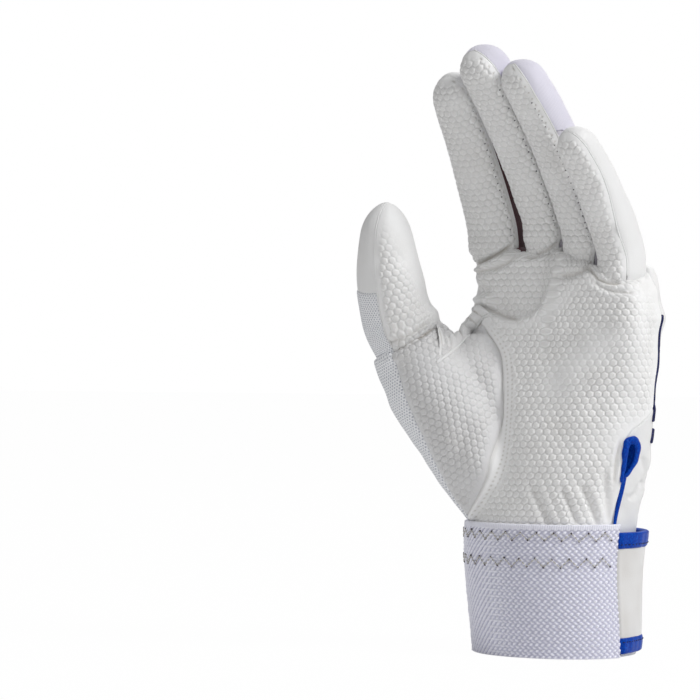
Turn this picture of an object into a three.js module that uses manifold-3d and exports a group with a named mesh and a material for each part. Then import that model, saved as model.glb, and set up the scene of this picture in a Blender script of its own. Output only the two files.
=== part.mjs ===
// A batting glove for the left hand, standing on its cuff hem with the fingertips up.
// Millimetres. The origin is the middle of the wrist opening at the hem, +Z runs to the fingertips,
// the palm faces -Y, the thumb lies at -X and the little finger at +X.
import * as THREE from 'three';
import { mergeVertices } from 'three/addons/utils/BufferGeometryUtils.js';
import Module from 'manifold-3d';

const wasm = await Module();
wasm.setup();

// Cloth, leather and clearances
const panelThick = 1.1;
const elasticThick = 1.6;
const strapThick = 1.8;
const bindingThick = 0.8;
const patchThick = 0.8;
const seamGap = 0.3;
const lapGap = 0.4;
const cutOverrun = 6;
const farReachLength = 90;

// Heights of the hand form above the hem
const cuffHeight = 51;
const panelTuck = 15;
const heelHeight = 74;
const palmHeight = 100;
const thumbWebHeight = 125;
const bulgeHeight = 148;
const handTop = 182;

// Half widths, half depths and sideways shifts of the hand form at those heights
const hemHalfWidth = 32.8;
const hemHalfDepth = 26.5;
const hemShift = 0.6;
const wristHalfWidth = 34.6;
const wristHalfDepth = 28;
const wristShift = -1;
const heelHalfWidth = 36.6;
const heelHalfDepth = 25.5;
const heelShift = 3.2;
const palmHalfWidth = 39.3;
const palmHalfDepth = 21.5;
const palmShift = 3.4;
const webHalfWidth = 41;
const webHalfDepth = 17.5;
const webShift = 3.6;
const wristRoundness = 2.1;
const knuckleRoundness = 4.7;

// The row of knuckles is a shallow arch, highest over the middle finger
const archRise = 4;
const archHalfSpan = 40;
const archMiddle = 3;
const archStartHeight = 90;
const archMiddleShare = 0.6;

// Finger roots: each finger turns round an axis through the middle of a rounded root
const rootRadius = 10.5;
const rootTuckAngle = 45;
const rootSpare = 2.8;
const mouthSlack = 2.2;
const fingerCurl = 30;
const thumbCurl = 25;

// Fingers: height of the root axis, half width, length, tip dome and how far each bends and leans
const fingers = {
  index: {
    height: 164, halfWidth: 10, length: 74.5, tipHalfWidth: 8.8, tipHalfDepth: 8.3,
    dome: 11, taper: 1.8, bendStart: 15, bendEnd: 41, lean: -1.6, ulnarSeamShare: -0.2, radialSeamShare: 0,
  },
  middle: {
    height: 168, halfWidth: 9.7, length: 84, tipHalfWidth: 8.5, tipHalfDepth: 8.3,
    dome: 11, taper: 1.6, bendStart: 24, bendEnd: 44, lean: -6, ulnarSeamShare: -0.4, radialSeamShare: -0.1,
  },
  ring: {
    height: 163, halfWidth: 9.4, length: 83, tipHalfWidth: 8.3, tipHalfDepth: 8.2,
    dome: 11, taper: 1.6, bendStart: 21, bendEnd: 47, lean: -5, ulnarSeamShare: -0.6, radialSeamShare: -0.1,
  },
  little: {
    height: 153, halfWidth: 8.4, length: 66, tipHalfWidth: 7.6, tipHalfDepth: 7.6,
    dome: 9, taper: 1.6, bendStart: 27, bendEnd: 51, lean: -5, ulnarSeamShare: -0.65, radialSeamShare: -0.1,
  },
};
const middleFingerOffset = -3.2;
const indexMiddleGap = 3.9;
const middleRingGap = 1.3;
const ringLittleGap = 0.5;
fingers.middle.x = middleFingerOffset;
fingers.index.x = middleFingerOffset - fingers.middle.halfWidth - indexMiddleGap - fingers.index.halfWidth;
fingers.ring.x = middleFingerOffset + fingers.middle.halfWidth + middleRingGap + fingers.ring.halfWidth;
fingers.little.x = fingers.ring.x + fingers.ring.halfWidth + ringLittleGap + fingers.little.halfWidth;
const easeLength = 12;
const gussetBackShare = 0.4;
const gussetInset = 3;
const gussetStop = 14;
const digitRoundness = 2.35;
const domeRoundness = 2.4;
const domeEndShare = 0.9;

// Thenar lobe: a tapering tube that leaves the palm and carries the thumb. Its stations are shares of
// the thumb root's place, of the rise to it and of the lobe's radius.
const thumbRootOut = 49.5;
const thumbRootForward = 33;
const thumbRootHeight = 125;
const thenarFootHeight = 53;
const thenarRadius = 18.4;
const thenarStations = [
  { outShare: 0.3, forwardShare: 0.24, riseShare: 0, radiusShare: 0.65 },
  { outShare: 0.435, forwardShare: 0.335, riseShare: 0.167, radiusShare: 0.85 },
  { outShare: 0.63, forwardShare: 0.59, riseShare: 0.486, radiusShare: 0.99 },
  { outShare: 0.83, forwardShare: 0.8, riseShare: 0.764, radiusShare: 1 },
  { outShare: 1, forwardShare: 1, riseShare: 1, radiusShare: 0.817 },
];
const thenarMouth = 3;
const thenarSeamTurn = 50;

// Thumb
const thumbRadius = 13.6;
const thumb = {
  halfWidth: 13.7, length: 59, tipHalfWidth: 8.6, tipHalfDepth: 7.4, dome: 12, taper: 2.5,
  bendStart: 17, bendEnd: 38, lean: 0, ulnarSeamShare: 0, radialSeamShare: 0,
};
const thumbMeshLength = 24;

// Web between thumb and index finger: its rim and its foot, each from the lobe over to the palm, as
// shares of the thumb root's place
const webRimShares = [[0.848, 0.818, 0.968], [0.768, 0.576, 0.988], [0.667, 0.182, 1.104]];
const webFootShares = [[0.768, 0.758, 0.896], [0.626, 0.606, 0.904], [0.545, 0.303, 0.992]];
const webLeanShares = [0.55, -0.75, 0.35];
const crotchBowHeight = 4;
const crotchTiltHeight = 6;

// Palm seams: the curved seam between palm and thenar panels, and the two side seams
const seamHeightShares = [0.198, 0.313, 0.374, 0.495, 0.797, 1];
const seamPlaceShares = [-0.66, -0.534, -0.344, -0.242, -0.275, -0.382];
const sideSeamLow = -9.5;
const sideSeamHigh = 4.5;
const sideSeamTurnLow = 86;
const sideSeamTurnHigh = 100;
const radialSeam = 2;

// Wrist slit with its bound edge, and the piping above it
const slitTop = 86;
const slitFoot = 67;
const slitHalfWidth = 2;
const slitDropShare = 0.38;
const slitBindRadius = 1.15;
const slitTailRadius = 0.8;
const slitTailFoot = 52.5;
const pipingRadius = 0.9;
const pipingTop = 136;
const pipingRise = 3;
const pipingFoot = slitTop + pipingRise;
const trimStand = 0.8;
const slitStand = 0.2;

// Cuff, strap and closure, with angles round the wrist counted from the little-finger side
const elasticEdgeAngle = -14;
const elasticEndAngle = 126;
const strapRootAngle = -12.5;
const strapRiseAngle = 88;
const strapEndAngle = 146;
const strapLift = 2.2;
const bindingLapAngle = 2;
const strapFoot = 1.6;
const strapTop = 47.4;
const bindingWidth = 6.4;
const flapStartAngle = -9;
const flapEndAngle = 122;
const patchStartAngle = 78;
const patchEndAngle = 112;
const patchFoot = 9;
const patchTop = 33;

// Facets
const handSides = 28;
const handRows = 10;
const digitSides = 14;
const digitRows = 7;
const domeRows = 3;
const rootRows = 2;
const lobeSides = 22;
const lobeRows = 9;
const cuffSteps = 24;
const crotchSteps = 8;
const slitCutPoints = 14;
const slitBindPoints = 12;

const degrees = Math.PI / 180;

// Small helpers

function smoothStep(x) {
  const t = Math.min(1, Math.max(0, x));
  return t * t * (3 - 2 * t);
}

// Cubic through a table of values, with the slope at each place taken from its neighbours.
function through(places, values, at) {
  const last = places.length - 1;
  const x = Math.min(places[last], Math.max(places[0], at));
  let k = 0;
  while (k < last - 1 && x > places[k + 1]) k += 1;
  const slope = (i) => {
    const a = Math.max(0, i - 1);
    const b = Math.min(last, i + 1);
    return (values[b] - values[a]) / (places[b] - places[a]);
  };
  const span = places[k + 1] - places[k];
  const t = (x - places[k]) / span;
  const rise = t * t * (3 - 2 * t);
  return values[k] * (1 - rise) + values[k + 1] * rise
    + span * slope(k) * t * (1 - t) * (1 - t) - span * slope(k + 1) * t * t * (1 - t);
}

function superellipse(halfWidth, halfDepth, roundness, angle) {
  const c = Math.cos(angle);
  const s = Math.sin(angle);
  return [
    halfWidth * Math.sign(c) * Math.abs(c) ** (2 / roundness),
    halfDepth * Math.sign(s) * Math.abs(s) ** (2 / roundness),
  ];
}

// A closed solid from rings of points, each ring running the same way round, capped at both ends.
function loft(rings, looped = false) {
  const vertices = [];
  const faces = [];
  const n = rings[0].length;
  rings.forEach((ring) => ring.forEach((p) => vertices.push(p)));
  const count = looped ? rings.length : rings.length - 1;
  for (let k = 0; k < count; k += 1) {
    const next = (k + 1) % rings.length;
    for (let i = 0; i < n; i += 1) {
      const j = (i + 1) % n;
      faces.push([k * n + i, k * n + j, next * n + j], [k * n + i, next * n + j, next * n + i]);
    }
  }
  if (!looped) {
    [[0, true], [rings.length - 1, false]].forEach(([k, flip]) => {
      const middle = new THREE.Vector3();
      rings[k].forEach((p) => middle.addScaledVector(p, 1 / n));
      vertices.push(middle);
      const hub = vertices.length - 1;
      for (let i = 0; i < n; i += 1) {
        const j = (i + 1) % n;
        faces.push(flip ? [hub, k * n + j, k * n + i] : [hub, k * n + i, k * n + j]);
      }
    });
  }
  return toSolid(vertices, faces);
}

function toSolid(vertices, faces) {
  const geometry = new THREE.BufferGeometry().setFromPoints(vertices);
  geometry.setIndex(faces.flat());
  return solidOf(geometry);
}

function solidOf(geometry) {
  const plain = geometry.clone();
  plain.deleteAttribute('normal');
  plain.deleteAttribute('uv');
  const merged = mergeVertices(plain, 1e-5);
  const index = Array.from(merged.index.array);
  const kept = [];
  for (let i = 0; i < index.length; i += 3) {
    const [a, b, c] = index.slice(i, i + 3);
    if (a !== b && b !== c && c !== a) kept.push(a, b, c);
  }
  return new wasm.Manifold(new wasm.Mesh({
    numProp: 3,
    vertProperties: Float32Array.from(merged.attributes.position.array),
    triVerts: Uint32Array.from(kept),
  }));
}

function largest(solid) {
  const bodies = solid.decompose();
  return bodies.reduce((best, body) => (body.volume() > best.volume() ? body : best));
}

function meshOf(name, solid, material) {
  const { vertProperties, triVerts } = largest(solid).getMesh();
  const geometry = new THREE.BufferGeometry();
  geometry.setAttribute('position', new THREE.BufferAttribute(Float32Array.from(vertProperties), 3));
  geometry.setIndex(Array.from(triVerts));
  geometry.computeVertexNormals();
  const mesh = new THREE.Mesh(geometry, material);
  mesh.name = name;
  return mesh;
}

function finish(color, roughness) {
  return new THREE.MeshStandardMaterial({ color, roughness, metalness: 0 });
}

const embossedLeather = finish(0xdcdddc, 0.55);
const smoothLeather = finish(0xe8e9e8, 0.5);
const stretchKnit = finish(0xd6d4e4, 0.8);
const meshFabric = finish(0xd4d8dc, 0.85);
const ribElastic = finish(0xd8d8e6, 0.9);
const blueBinding = finish(0x1946aa, 0.45);
const navyPiping = finish(0x12205a, 0.5);
const hookTape = finish(0xe4e4ea, 0.9);
const loopTape = finish(0xd8d8e0, 0.95);

// The hand form

const mouthMargin = lapGap + panelThick;
const rowLeft = fingers.index.x - fingers.index.halfWidth - mouthMargin;
const rowRight = fingers.little.x + fingers.little.halfWidth + mouthMargin;
const knuckleHalfWidth = (rowRight - rowLeft) / 2;
const knuckleShift = (rowRight + rowLeft) / 2;
const handHeights = [0, cuffHeight, heelHeight, palmHeight, thumbWebHeight, bulgeHeight, handTop];
const mouthHalfDepth = rootRadius + mouthSlack + mouthMargin;
const handWidths = [
  hemHalfWidth, wristHalfWidth, heelHalfWidth, palmHalfWidth, webHalfWidth, knuckleHalfWidth,
  knuckleHalfWidth,
];
const handDepths = [
  hemHalfDepth, wristHalfDepth, heelHalfDepth, palmHalfDepth, webHalfDepth, mouthHalfDepth,
  mouthHalfDepth,
];
const handShifts = [hemShift, wristShift, heelShift, palmShift, webShift, knuckleShift, knuckleShift];

function archAt(x, z) {
  const share = smoothStep((z - archStartHeight) / (bulgeHeight - archStartHeight));
  return share * archRise * (archMiddleShare - ((x - archMiddle) / archHalfSpan) ** 2);
}

// A point of the hand form at a height and an angle, grown outwards or shrunk inwards.
function handPoint(z, angle, grow) {
  const roundness = wristRoundness
    + (knuckleRoundness - wristRoundness) * smoothStep((z - palmHeight) / (bulgeHeight - palmHeight));
  const [dx, dy] = superellipse(
    through(handHeights, handWidths, z) + grow,
    through(handHeights, handDepths, z) + grow,
    roundness,
    angle,
  );
  const x = through(handHeights, handShifts, z) + dx;
  return new THREE.Vector3(x, dy + archAt(x, z), z);
}

function handSolid(low, high, grow, rows) {
  const rings = [];
  for (let k = 0; k <= rows; k += 1) {
    const z = low + ((high - low) * k) / rows;
    const ring = [];
    for (let i = 0; i < handSides; i += 1) ring.push(handPoint(z, (i / handSides) * 2 * Math.PI, grow));
    rings.push(ring);
  }
  return loft(rings);
}

// A block bounded by the same four-sided outline at each height, for cutting the hand form into panels.
function uprightBlock(heights, outlineAt) {
  return loft(heights.map((z) => outlineAt(z).map(([x, y]) => new THREE.Vector3(x, y, z))));
}

// Digits: a local frame with its lateral axis across, its back axis towards the nail, its long axis up

function fingerFrame(finger) {
  return {
    root: new THREE.Vector3(finger.x, archAt(finger.x, finger.height), finger.height),
    across: new THREE.Vector3(1, 0, 0),
    back: new THREE.Vector3(0, 1, 0),
    up: new THREE.Vector3(0, 0, 1),
  };
}

const thenarCurve = new THREE.CatmullRomCurve3(
  thenarStations.map(({ outShare, forwardShare, riseShare }) => new THREE.Vector3(
    -thumbRootOut * outShare,
    -thumbRootForward * forwardShare,
    thenarFootHeight + (thumbRootHeight - thenarFootHeight) * riseShare,
  )),
  false,
  'centripetal',
);

function frameAlong(curve, t) {
  const up = curve.getTangentAt(t);
  const across = new THREE.Vector3(0, 1, 0);
  across.addScaledVector(up, -across.dot(up)).normalize();
  return { root: curve.getPointAt(t), across, back: up.clone().cross(across), up };
}

const thumbFrame = frameAlong(thenarCurve, 1);

function place(frame, across, back, up) {
  return frame.root.clone()
    .addScaledVector(frame.across, across)
    .addScaledVector(frame.back, back)
    .addScaledVector(frame.up, up);
}

// The middle line of a digit: it starts straight up from the root axis and bends towards the palm.
function digitLine(digit, frame) {
  const bendAt = (s) => degrees * smoothStep(s / easeLength)
    * (digit.bendStart + (digit.bendEnd - digit.bendStart) * (s / digit.length));
  return (s) => {
    const steps = 24;
    const here = new THREE.Vector3();
    for (let k = 0; k < steps; k += 1) {
      const bend = bendAt((s * (k + 0.5)) / steps);
      const step = s / steps;
      here.x += step * Math.sin(degrees * digit.lean);
      here.y -= step * Math.sin(bend);
      here.z += step * Math.cos(bend);
    }
    const bend = bendAt(s);
    return (across, back) => place(
      frame,
      here.x + across,
      here.y + back * Math.cos(bend),
      here.z + back * Math.sin(bend),
    );
  };
}

function digitHalves(digit, radius, s, grow) {
  const length = digit.length + grow;
  const dome = digit.dome + grow;
  const t = Math.min(1, Math.max(0, s / (length - dome)));
  const over = Math.max(0, (s - (length - dome)) / dome);
  const round = Math.sqrt(Math.max(0, 1 - over ** domeRoundness));
  return [
    (digit.halfWidth + (digit.tipHalfWidth - digit.halfWidth) * t ** digit.taper + grow) * round,
    (radius + (digit.tipHalfDepth - radius) * t ** digit.taper + grow) * round,
  ];
}

// The whole digit as a closed form: rounded root, tube and domed tip. An inner form runs out below.
function digitSolid(digit, frame, radius, grow) {
  const line = digitLine(digit, frame);
  const rings = [];
  const ringAt = (width, depth, spot) => {
    const ring = [];
    for (let i = 0; i < digitSides; i += 1) {
      const [a, b] = superellipse(width, depth, digitRoundness, ((i + 0.5) / digitSides) * 2 * Math.PI);
      ring.push(spot(a, b));
    }
    rings.push(ring);
  };
  const width = digit.halfWidth + grow;
  const round = radius + grow;
  if (grow < 0) {
    const depth = round * Math.cos(rootTuckAngle * degrees);
    const foot = -radius * Math.sin(rootTuckAngle * degrees) - cutOverrun;
    ringAt(width, depth, (a, b) => place(frame, a, b, foot));
  }
  for (let k = 0; k < rootRows; k += 1) {
    const angle = -rootTuckAngle * degrees * (1 - k / rootRows);
    ringAt(width, round * Math.cos(angle), (a, b) => place(frame, a, b, round * Math.sin(angle)));
  }
  const length = digit.length + grow;
  const straight = length - digit.dome - grow;
  for (let k = 0; k <= digitRows; k += 1) {
    const s = (straight * k) / digitRows;
    ringAt(...digitHalves(digit, radius, s, grow), line(s));
  }
  for (let k = 1; k <= domeRows; k += 1) {
    const s = straight + (digit.dome + grow) * Math.sin((k / domeRows) * domeEndShare * Math.PI / 2);
    ringAt(...digitHalves(digit, radius, s, grow), line(s));
  }
  return loft(rings);
}

// A block that follows the digit, bounded by an outline across it, for cutting the digit into panels.
function digitBlock(digit, frame, outlineAt, from, to) {
  const line = digitLine(digit, frame);
  const rings = [];
  const rootDrop = -rootRadius - cutOverrun;
  if (from <= 0) rings.push(outlineAt(0).map(([a, b]) => place(frame, a, b, rootDrop)));
  for (let k = 0; k <= digitRows; k += 1) {
    const s = Math.max(0, from) + ((to - Math.max(0, from)) * k) / digitRows;
    const spot = line(s);
    rings.push(outlineAt(s).map(([a, b]) => spot(a, b)));
  }
  return loft(rings);
}

// Cuts one digit's tube into its front, back and side gussets, with a seam gap between them.
function digitPanels(digit, frame, radius, gussetSides) {
  const shell = digitSolid(digit, frame, radius, 0).subtract(digitSolid(digit, frame, radius, -panelThick));
  const wide = digit.halfWidth + cutOverrun;
  const deep = radius + cutOverrun;
  const end = digit.length + cutOverrun;
  const halfGap = seamGap / 2;
  const seamAt = (side) => radius * (side > 0 ? digit.ulnarSeamShare : digit.radialSeamShare);
  const frontBlock = (shift) => digitBlock(digit, frame, () => [
    [-wide, -deep],
    [wide, -deep],
    [wide, seamAt(1) + shift],
    [-wide, seamAt(-1) + shift],
  ], 0, end);
  const gussetEnd = digit.length - gussetStop;
  const gussetBlock = (side, spare) => digitBlock(digit, frame, () => {
    const low = seamAt(side) - spare;
    const high = radius * gussetBackShare + spare;
    const inner = side * (digit.tipHalfWidth - gussetInset - spare);
    const outline = [[inner, low], [side * wide, low], [side * wide, high], [inner, high]];
    return side > 0 ? outline : outline.reverse();
  }, 0, gussetEnd + spare);
  const front = shell.intersect(frontBlock(-halfGap));
  let rest = shell.subtract(frontBlock(halfGap));
  const panels = { front };
  gussetSides.forEach((side) => {
    const gusset = rest.intersect(gussetBlock(side, 0));
    panels[side > 0 ? 'ulnar' : 'radial'] = gusset;
    rest = rest.subtract(gussetBlock(side, seamGap));
  });
  panels.back = rest;
  return panels;
}

// The thenar lobe

function thenarSolid(grow, beyond) {
  const rings = [];
  const rows = lobeRows;
  const radii = thenarStations.map(({ radiusShare }) => thenarRadius * radiusShare);
  const places = thenarStations.map((_, i) => i / (thenarStations.length - 1));
  for (let k = 0; k <= rows + 1; k += 1) {
    const t = Math.min(1, k / rows);
    const curveT = thenarCurve.getUtoTmapping(t);
    const frame = frameAlong(thenarCurve, t);
    const lift = k > rows ? beyond : 0;
    const radius = through(places, radii, curveT) + grow;
    const ring = [];
    for (let i = 0; i < lobeSides; i += 1) {
      const [a, b] = superellipse(radius, radius, digitRoundness, (i / lobeSides) * 2 * Math.PI);
      ring.push(place(frame, a, b, lift));
    }
    rings.push(ring);
  }
  return loft(rings);
}

// Half of the space round the lobe, split along a seam that turns as it climbs.
function thenarHalf(side, shift) {
  const rings = [];
  const reach = thenarRadius + cutOverrun;
  for (let k = -1; k <= lobeRows + 1; k += 1) {
    const t = Math.min(1, Math.max(0, k / lobeRows));
    const frame = frameAlong(thenarCurve, t);
    const below = k < 0 ? -cutOverrun : 0;
    const lift = k > lobeRows ? 2 * cutOverrun : below;
    const turn = thenarSeamTurn * degrees * (1 - t);
    const outline = side < 0
      ? [[-reach, -reach], [reach, -reach], [reach, shift], [-reach, shift]]
      : [[-reach, shift], [reach, shift], [reach, reach], [-reach, reach]];
    rings.push(outline.map(([a, b]) => place(
      frame,
      a * Math.cos(turn) + b * Math.sin(turn),
      b * Math.cos(turn) - a * Math.sin(turn),
      lift,
    )));
  }
  return loft(rings);
}

// What is cut away above a root's mouth: low on the palm side, so that the digit can curl.
function mouthCut(frame, radius, curl, leftEdge, rightEdge) {
  const reach = radius + panelThick + lapGap + archRise;
  const front = -(radius + panelThick + lapGap) * Math.tan(curl * degrees) - lapGap;
  const back = -rootSpare;
  const slope = (back - front) / (2 * radius);
  const tall = 3 * radius;
  const section = [
    [-reach, front - slope * (reach - radius)],
    [-radius, front],
    [radius, back],
    [reach + cutOverrun, back],
    [reach + cutOverrun, tall],
    [-reach - cutOverrun, tall],
    [-reach - cutOverrun, front - slope * (reach - radius)],
  ];
  const ring = (across) => section.map(([backward, up]) => place(frame, across, backward, up));
  return loft([ring(leftEdge), ring(rightEdge)]);
}

// Side seams of the hand

// Everything on the little-finger side of the seam between the thenar and palm panels.
function beyondThenarSeam() {
  return uprightBlock(seamRows, (z) => [
    [thenarSeam(z) - seamGap / 2, -farReachLength],
    [farReachLength, -farReachLength],
    [farReachLength, farReachLength],
    [thenarSeam(z) - seamGap / 2, farReachLength],
  ]);
}

function ulnarSeam(z) {
  const share = smoothStep((z - sideSeamTurnLow) / (sideSeamTurnHigh - sideSeamTurnLow));
  return sideSeamLow + (sideSeamHigh - sideSeamLow) * share;
}

function thenarSeam(z) {
  return palmHalfWidth * through(seamHeightShares, seamPlaceShares, z / handTop);
}

const seamRows = [];
for (let z = -cutOverrun; z <= handTop + 2 * cutOverrun; z += cutOverrun) seamRows.push(z);

function frontRegion(side) {
  const halfGap = seamGap / 2;
  return uprightBlock(seamRows, (z) => (side > 0
    ? [
      [thenarSeam(z) + halfGap, -farReachLength],
      [farReachLength, -farReachLength],
      [farReachLength, ulnarSeam(z) - halfGap],
      [thenarSeam(z) + halfGap, ulnarSeam(z) - halfGap],
    ]
    : [
      [-farReachLength, -farReachLength],
      [thenarSeam(z) - halfGap, -farReachLength],
      [thenarSeam(z) - halfGap, radialSeam - halfGap],
      [-farReachLength, radialSeam - halfGap],
    ]));
}

function backRegion() {
  const halfGap = seamGap / 2;
  return uprightBlock(seamRows, (z) => [
    [archMiddle, radialSeam + halfGap],
    [archMiddle, ulnarSeam(z) + halfGap],
    [farReachLength, ulnarSeam(z) + halfGap],
    [farReachLength, farReachLength],
    [-farReachLength, farReachLength],
    [-farReachLength, radialSeam + halfGap],
  ]);
}

// The hand shell, open at the wrist and at the finger mouths

const tuckFoot = cuffHeight - panelTuck;
const fingerNames = Object.keys(fingers);
const frames = {};
fingerNames.forEach((name) => {
  frames[name] = fingerFrame(fingers[name]);
});

let mouths = null;
fingerNames.forEach((name, i) => {
  const finger = fingers[name];
  const before = fingers[fingerNames[i - 1]];
  const after = fingers[fingerNames[i + 1]];
  const leftEdge = before
    ? (before.x + before.halfWidth - finger.x - finger.halfWidth - seamGap) / 2
    : -farReachLength;
  const rightEdge = after
    ? (after.x - after.halfWidth - finger.x + finger.halfWidth + seamGap) / 2
    : farReachLength;
  const cut = mouthCut(frames[name], rootRadius, fingerCurl, leftEdge, rightEdge);
  mouths = mouths ? mouths.add(cut) : cut;
});

const handOuter = handSolid(tuckFoot, handTop, 0, handRows);
const handHollow = handSolid(tuckFoot - cutOverrun, handTop + cutOverrun, -panelThick, handRows + 1);
const handShell = handOuter.subtract(handHollow).subtract(mouths);
const thumbMouth = mouthCut(thumbFrame, thumbRadius, thumbCurl, -farReachLength / 2, farReachLength / 2);
const lobeOuter = thenarSolid(0, thenarMouth);
const lobeHollow = thenarSolid(-panelThick, 2 * thenarMouth);
const lobeShell = lobeOuter.subtract(lobeHollow).subtract(thumbMouth);

// Slit cutter: a drop-shaped hole through the little-finger side

function slitOutline(reach, step) {
  const points = [];
  const middle = (slitTop + slitFoot) / 2;
  const tall = (slitTop - slitFoot) / 2;
  for (let i = 0; i < step; i += 1) {
    const angle = (i / step) * 2 * Math.PI;
    const up = Math.cos(angle);
    const wide = Math.sin(angle) * (1 - slitDropShare + slitDropShare * up);
    points.push([middle + tall * up, wide * reach]);
  }
  return points;
}

// Walks round the form to the place that lies offsetY from the side seam.
function sidePoint(z, offsetY, grow) {
  const target = ulnarSeam(z) + offsetY;
  let low = -Math.PI / 2;
  let high = Math.PI / 2;
  for (let k = 0; k < 30; k += 1) {
    const middle = (low + high) / 2;
    if (handPoint(z, middle, grow).y < target) low = middle;
    else high = middle;
  }
  return handPoint(z, (low + high) / 2, grow);
}

function tube(points, radius, sides, looped) {
  const curve = new THREE.CatmullRomCurve3(points, looped, 'centripetal');
  const rows = points.length * 2;
  const rings = [];
  for (let k = 0; k < rows + (looped ? 0 : 1); k += 1) {
    const t = k / rows;
    const forward = curve.getTangentAt(t);
    const outward = new THREE.Vector3(1, 0, 0);
    outward.addScaledVector(forward, -outward.dot(forward)).normalize();
    const across = forward.clone().cross(outward);
    const centre = curve.getPointAt(t);
    const ring = [];
    for (let i = 0; i < sides; i += 1) {
      const angle = (i / sides) * 2 * Math.PI;
      ring.push(centre.clone()
        .addScaledVector(outward, radius * Math.cos(angle))
        .addScaledVector(across, radius * Math.sin(angle)));
    }
    rings.push(ring);
  }
  return loft(rings, looped);
}

const slitRing = slitOutline(slitHalfWidth, slitCutPoints);
const slitCutter = loft([1, 0].map((end) => slitRing.map(([z, y]) => {
  const spot = sidePoint(z, y, 0);
  return new THREE.Vector3(spot.x + (end ? cutOverrun : -cutOverrun), spot.y, z);
})));

// Panels of the hand

const palmPanel = handShell.intersect(frontRegion(1)).subtract(slitCutter);
const thenarHand = handShell.intersect(frontRegion(-1)).subtract(lobeHollow);
const thenarLobe = lobeShell.intersect(thenarHalf(-1, -seamGap / 2))
  .subtract(handHollow)
  .subtract(beyondThenarSeam());
const thenarPanel = thenarHand.add(thenarLobe);
const backPanel = handShell.intersect(backRegion()).subtract(slitCutter).subtract(lobeHollow);
const thumbSide = lobeShell.intersect(thenarHalf(1, seamGap / 2))
  .subtract(handSolid(tuckFoot, handTop, seamGap, handRows));

const leather = new THREE.Group();
leather.add(
  meshOf('palm_panel', palmPanel, embossedLeather),
  meshOf('thenar_panel', thenarPanel, embossedLeather),
  meshOf('back_panel', backPanel, smoothLeather),
  meshOf('thumb_base_mesh', thumbSide, meshFabric),
);

// A sheet between two curved edges, given its thickness along one direction.
function membrane(rim, foot, lean, thickness, across, along) {
  const edge = (shares) => new THREE.QuadraticBezierCurve3(...shares.map(([out, forward, rise]) => (
    new THREE.Vector3(-thumbRootOut * out, -thumbRootForward * forward, thumbRootHeight * rise)
  )));
  const [top, bottom] = [edge(rim), edge(foot)];
  const shift = new THREE.Vector3(...lean).normalize().multiplyScalar(thickness);
  const rings = [];
  for (let i = 0; i <= across; i += 1) {
    const [a, b] = [top.getPoint(i / across), bottom.getPoint(i / across)];
    const ring = [];
    for (let k = 0; k <= along; k += 1) ring.push(a.clone().lerp(b, k / along));
    for (let k = along; k >= 0; k -= 1) ring.push(a.clone().lerp(b, k / along).add(shift));
    rings.push(ring.reverse());
  }
  return loft(rings);
}

const webSheet = membrane(webRimShares, webFootShares, webLeanShares, panelThick, 8, 3)
  .subtract(handSolid(tuckFoot, handTop, seamGap, handRows))
  .subtract(thenarSolid(seamGap, thenarMouth));

// The strip at the foot of the wide gap between index and middle finger, bowed up between two mouths.
function crotchStrip() {
  const left = fingers.index.x + fingers.index.halfWidth + lapGap;
  const right = fingers.middle.x - fingers.middle.halfWidth - lapGap;
  const centre = archAt((left + right) / 2, fingers.index.height);
  const foot = fingers.index.height - rootRadius;
  const rings = [];
  for (let k = 0; k <= crotchSteps; k += 1) {
    const share = k / crotchSteps;
    const y = centre + mouthHalfDepth * (2 * share - 1);
    const z = foot + crotchBowHeight * Math.sin(share * Math.PI) + crotchTiltHeight * share;
    rings.push([
      new THREE.Vector3(left, y, z - panelThick),
      new THREE.Vector3(left, y, z),
      new THREE.Vector3(right, y, z),
      new THREE.Vector3(right, y, z - panelThick),
    ]);
  }
  return loft(rings).intersect(handSolid(tuckFoot, handTop, -panelThick - seamGap, handRows));
}

// Fingers and thumb

const digits = new THREE.Group();
const gussetPlan = { index: [1], middle: [-1, 1], ring: [-1, 1], little: [-1] };
const backFinish = { index: smoothLeather, middle: stretchKnit, ring: stretchKnit, little: smoothLeather };
fingerNames.forEach((name) => {
  const panels = digitPanels(fingers[name], frames[name], rootRadius, gussetPlan[name]);
  digits.add(
    meshOf(`${name}_front`, panels.front, embossedLeather),
    meshOf(`${name}_back`, panels.back, backFinish[name]),
  );
  if (panels.radial) digits.add(meshOf(`${name}_gusset_radial`, panels.radial, stretchKnit));
  if (panels.ulnar) digits.add(meshOf(`${name}_gusset_ulnar`, panels.ulnar, stretchKnit));
});

const thumbPanels = digitPanels(thumb, thumbFrame, thumbRadius, []);
const wideThumb = thumb.halfWidth + cutOverrun;
const deepThumb = thumbRadius + cutOverrun;
const meshBlock = (spare) => digitBlock(thumb, thumbFrame, () => [
  [-wideThumb, -deepThumb],
  [wideThumb, -deepThumb],
  [wideThumb, deepThumb],
  [-wideThumb, deepThumb],
], 0, thumbMeshLength + spare);
digits.add(
  meshOf('thumb_front', thumbPanels.front, embossedLeather),
  meshOf('thumb_back', thumbPanels.back.subtract(meshBlock(seamGap)), smoothLeather),
  meshOf('thumb_mesh', thumbPanels.back.intersect(meshBlock(0)), meshFabric),
);

// Cuff, strap and closure

// A band round the wrist between two angles and two heights, lying between two offsets.
function wristBand(startAngle, endAngle, low, high, innerAt, outerAt, steps) {
  const rings = [];
  for (let k = 0; k <= steps; k += 1) {
    const angle = startAngle + ((endAngle - startAngle) * k) / steps;
    const inner = innerAt(angle);
    const outer = outerAt(angle);
    rings.push([
      handPoint(low, angle * degrees, inner),
      handPoint(low, angle * degrees, outer),
      handPoint((low + high) / 2, angle * degrees, outer),
      handPoint(high, angle * degrees, outer),
      handPoint(high, angle * degrees, inner),
      handPoint((low + high) / 2, angle * degrees, inner),
    ].reverse());
  }
  return loft(rings);
}

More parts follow.
